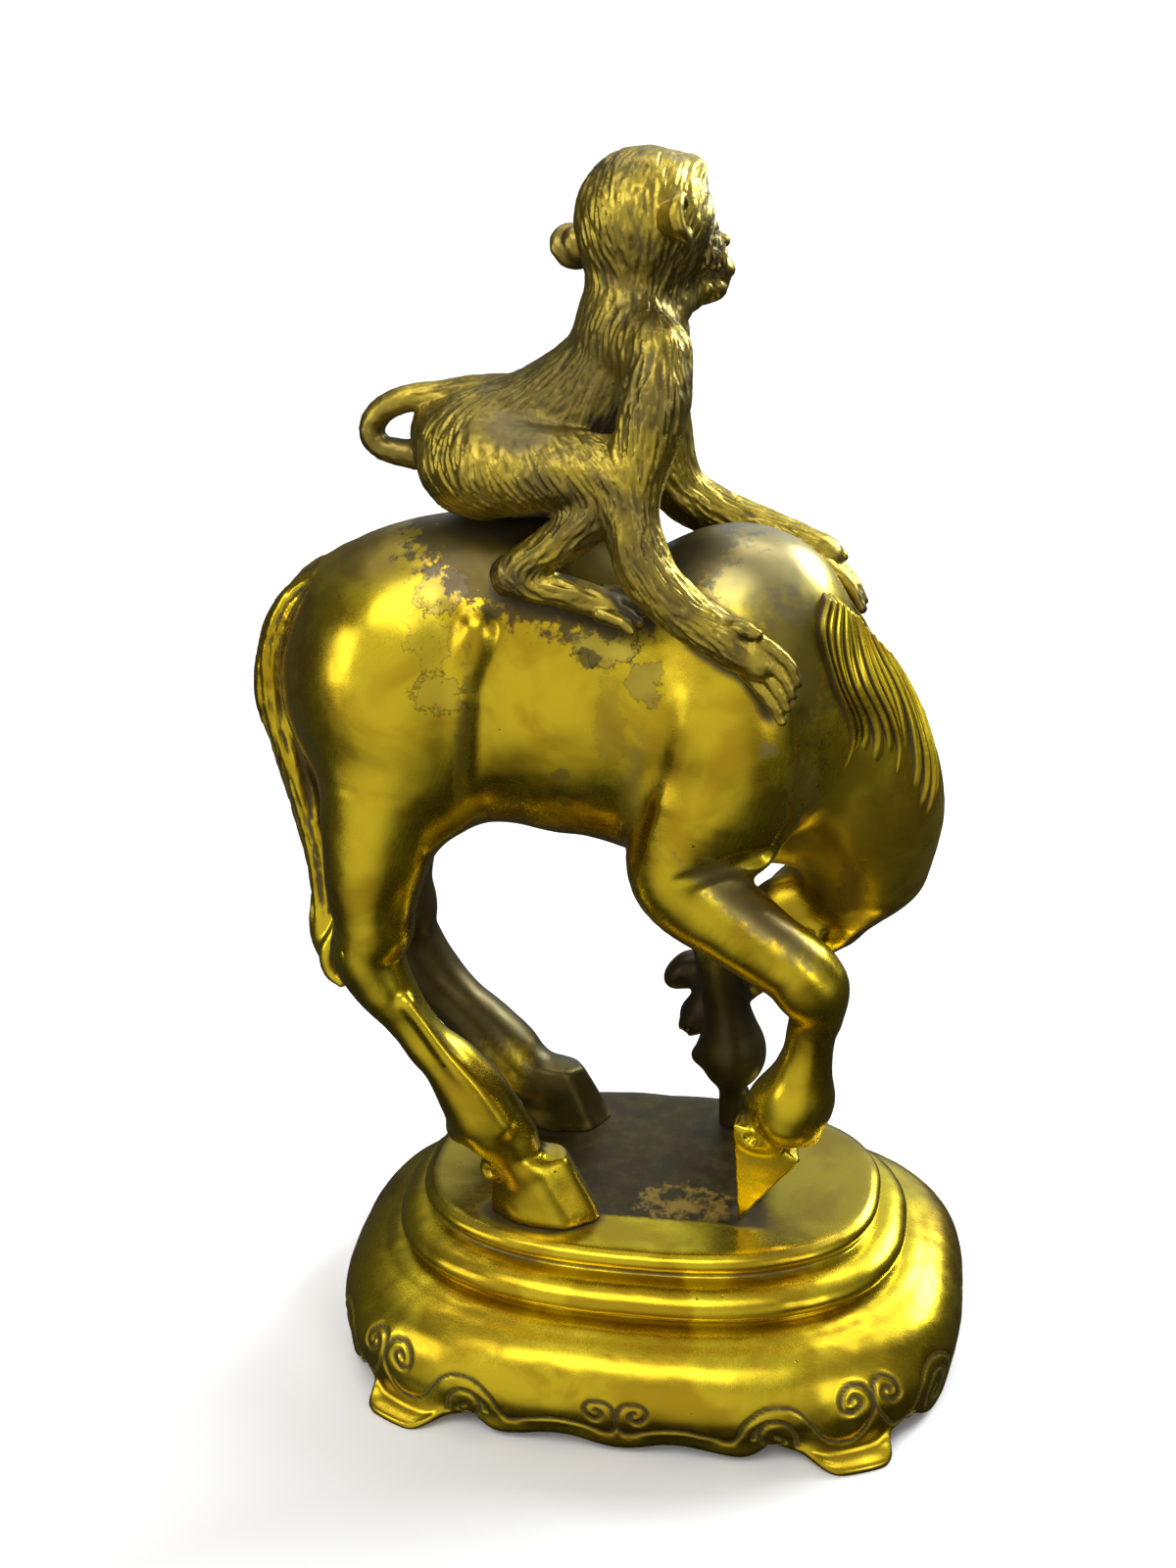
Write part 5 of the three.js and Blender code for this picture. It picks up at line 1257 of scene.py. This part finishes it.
# Patches on the horse: centre, radii, tilt, ragged, softness, colour, strength, rim
HORSE_PATCHES = [
    # Painted shade on the far legs and far hind hoof, the muzzle of the tucked head, and the back under the
    # monkey
    ((-58, 28, 88), (36, 21, 52), 0, 0.2, 0.2, PAINTED_SHADE_BROWN, 0.95, 0),
    ((17, 25, 80), (17, 18, 46), 0, 0.15, 0.2, PAINTED_SHADE_BROWN, 0.95, 0),
    ((-27, 21, 54), (17, 14, 15), 0, 0.2, 0.2, PAINTED_SHADE_BROWN, 0.92, 0),
    ((16, 34, 88), (27, 21, 25), 0, 0.2, 0.25, PAINTED_SHADE_BROWN, 0.95, 0),
    ((-11, 0, 217), (38, 27.5, 23.5), 0, 0.5, 0.05, PAINTED_SHADE_BROWN, 0.88, 0.5),
    # A grey-brown tone on top of the croup
    ((-58, 0, 214), (24, 20, 8), 0, 0.4, 0.5, GREY_BROWN, 0.5, 0),
    # Painted shade between the near hand and the edge of the mane
    ((41, -20, 196), (8, 8, 18), -12, 0.7, 0.4, PAINTED_SHADE_BROWN, 0.8, 0),
    # Painted reflection: a silvery sheen on top of the withers
    ((30, -6, 213), (19, 16, 12), 0, 0.3, 0.5, PAINTED_REFLECTION_GREY, 0.7, 0),
    # Painted shade along the top of the near forearm, under the chest
    ((30, -26, 138), (22, 6, 5), 40, 0.9, 0.3, GREY_BROWN, 0.75, 0),
    # A chestnut tone over the lower neck
    ((50, 4, 150), (24, 24, 30), 0, 0.4, 0.5, CHESTNUT, 0.45, 0),
    # Stains on the near side, from croup to neck
    ((-38.8, -19.6, 209.2), (5.2, 8, 5.2), 0, 1.1, 0.1, LILAC, 0.35, 0.7),
    ((-38.3, -27.9, 187.7), (5.6, 8, 4.4), 20, 1.2, 0.1, LILAC, 0.15, 0.6),
    ((-41, -23, 198), (5, 6, 8), -10, 1.4, 0.1, LILAC, 0.08, 0.45),
    ((-1.3, -20.4, 198.9), (7.2, 8, 5.4), 0, 1, 0.15, OLIVE, 0.4, 0.8),
    ((-5.4, -22.9, 195.1), (2.6, 4, 2.2), 0, 1, 0.15, DARK, 0.8, 0),
    ((7, -23.6, 190.4), (3.6, 6, 5), 0, 1.4, 0.2, GREY_BROWN, 0.4, 0.6),
    ((-0.7, -25.6, 179.3), (2.6, 7, 13), 0, 1.4, 0.5, RUST, 0.4, 0.2),
    ((-12.3, -25.3, 167.6), (2, 4, 1.7), 0, 1.3, 0.2, DARK, 0.6, 0.3),
    ((-12.3, -23, 160.2), (2, 4, 1.4), 0, 1.3, 0.2, DARK, 0.6, 0.3),
    ((35, -27.7, 176.8), (2, 4, 2), 0, 1.3, 0.2, GREY_BROWN, 0.6, 0),
    ((52.3, -4, 130.7), (3, 8, 9), 0, 1.4, 0.3, GREY_BROWN, 0.3, 0.4),
    # Painted shade in the hollows: the seam in front of the haunch, behind the shoulder, and between
    # shoulder and neck
    ((-34, -25, 178), (1.4, 8, 17), 8, 1.3, 0.6, PAINTED_SHADE_BROWN, 0.6, 0),
    ((3.5, -26, 165), (2.2, 8, 12), 12, 1.4, 0.6, GREY_BROWN, 0.35, 0),
    ((44, -22, 158), (4, 9, 16), -8, 1.2, 0.5, GREY_BROWN, 0.5, 0),
]

make_camera()
make_lights()
make_stage()

horse_clay = shape_horse(Clay((-98, -46, 41), (82, 54, 228), HORSE_STEP))
monkey_clay = shape_monkey(Clay((-65, -40, 184), (60, 36, 304), MONKEY_STEP))
monkey_clay.clear(horse_clay, 0.1)
horse_room = shape_horse(Clay((-110, -60, 30), (95, 66, 240), 2.6, 14))
monkey_room = shape_monkey(Clay((-76, -52, 172), (72, 48, 316), 2.2, 12))

points, quads, depth = make_horse(horse_clay)
out = horse_room.outward(points, 1.5)
# Shut-in values for the finish: patina in the fine grooves, and painted shade in the deep hollows and on
# the back under the monkey
closed = np.maximum(shut_in(horse_room, points, out, (4, 8, 12)),
                    0.8 * shut_in(horse_clay, points, out, (1.2, 1.8)))
closed = np.maximum(closed, shut_in(monkey_room, points, out, (3, 6, 9)) * (monkey_room.at(points) < 12))
horse_piece = thinned(piece("horse_cast", points, quads, {"shut": closed, "stroke": depth}), MOST_TRIANGLES)

points, quads, depth = make_mane(horse_clay)
out = horse_room.outward(points, 1.5)
# Shut-in values for the mane: painted shade and patina where it lies in the hollows of the neck
closed = shut_in(horse_room, points, out, (4, 8, 12)) * 0.5
mane_piece = thinned(piece("horse_mane", points, quads, {"shut": closed, "stroke": depth}), MOST_TRIANGLES)

points, quads, depth = make_monkey(monkey_clay)
out = monkey_room.outward(points, 1.2)
# Shut-in values for the monkey: patina in the fine grooves and painted shade in its deep hollows
closed = np.maximum(shut_in(monkey_room, points, out, (3, 6, 10)),
                    0.8 * shut_in(monkey_clay, points, out, (0.9, 1.5)))
monkey_piece = thinned(piece("monkey_cast", points, quads, {"shut": closed, "stroke": depth}),
                       MOST_TRIANGLES)

points, quads, depth, columns, lowest = make_plinth()
flat = points.reshape(-1, 3)
quads = close_ends(flat, quads, columns)
# Dark bands in the groove under the deck slab and in the broken groove lower on the moulding: patina in the
# grooves, with painted shade under the deck's overhang
broken = 0.4 + 0.5 * speckle(flat, 14, 61)
sunk = np.exp(-(((flat[:, 2] - 38) / 0.55) ** 2)) + broken * np.exp(-(((flat[:, 2] - 29.25) / 0.25) ** 2))
# Painted shade on the inside of the hollow plinth
under = np.repeat(np.arange(len(points)) > lowest, columns)
closed = np.maximum(np.clip(sunk, 0, 1) * 0.75, under * 0.8)
# Painted shade on the deck under the horse, from how shut in by the horse it is
closed = np.maximum(closed,
                    shut_in(horse_room, flat, np.array([0, 0, 1.0]), (4, 8, 12)) * (flat[:, 2] > 43)
                    * (np.arange(len(flat)) < lowest * columns))
plinth_piece = thinned(piece("plinth_cast", flat, quads, {"shut": closed, "stroke": -depth.ravel()}),
                       MOST_TRIANGLES)

horse_finish = bronze("horse_bronze_finish", GOLD, BROWN_GOLD, DARK, HORSE_PATCHES)
dress(horse_piece, "horse", horse_finish)
dress(mane_piece, "horse", horse_finish)
monkey_finish = bronze("monkey_bronze_finish", MONKEY_GOLD, MONKEY_SHADE, MONKEY_DARK,
                       [((-20, -20, 246), (9, 8, 5), 15, 0.3, 0.3, GREY_BROWN, 0.7, 0),
                        ((-12, 0, 254), (24, 22, 18), 0, 0.3, 0.5, TORSO_BROWN, 0.8, 0)], 0.7, 0.2, 0.38)
dress(monkey_piece, "monkey", monkey_finish)
dress(plinth_piece, "plinth",
      bronze("plinth_bronze_finish", GOLD, BROWN_GOLD, DARK, deck=True))

bpy.context.scene.view_settings.view_transform = "Standard"
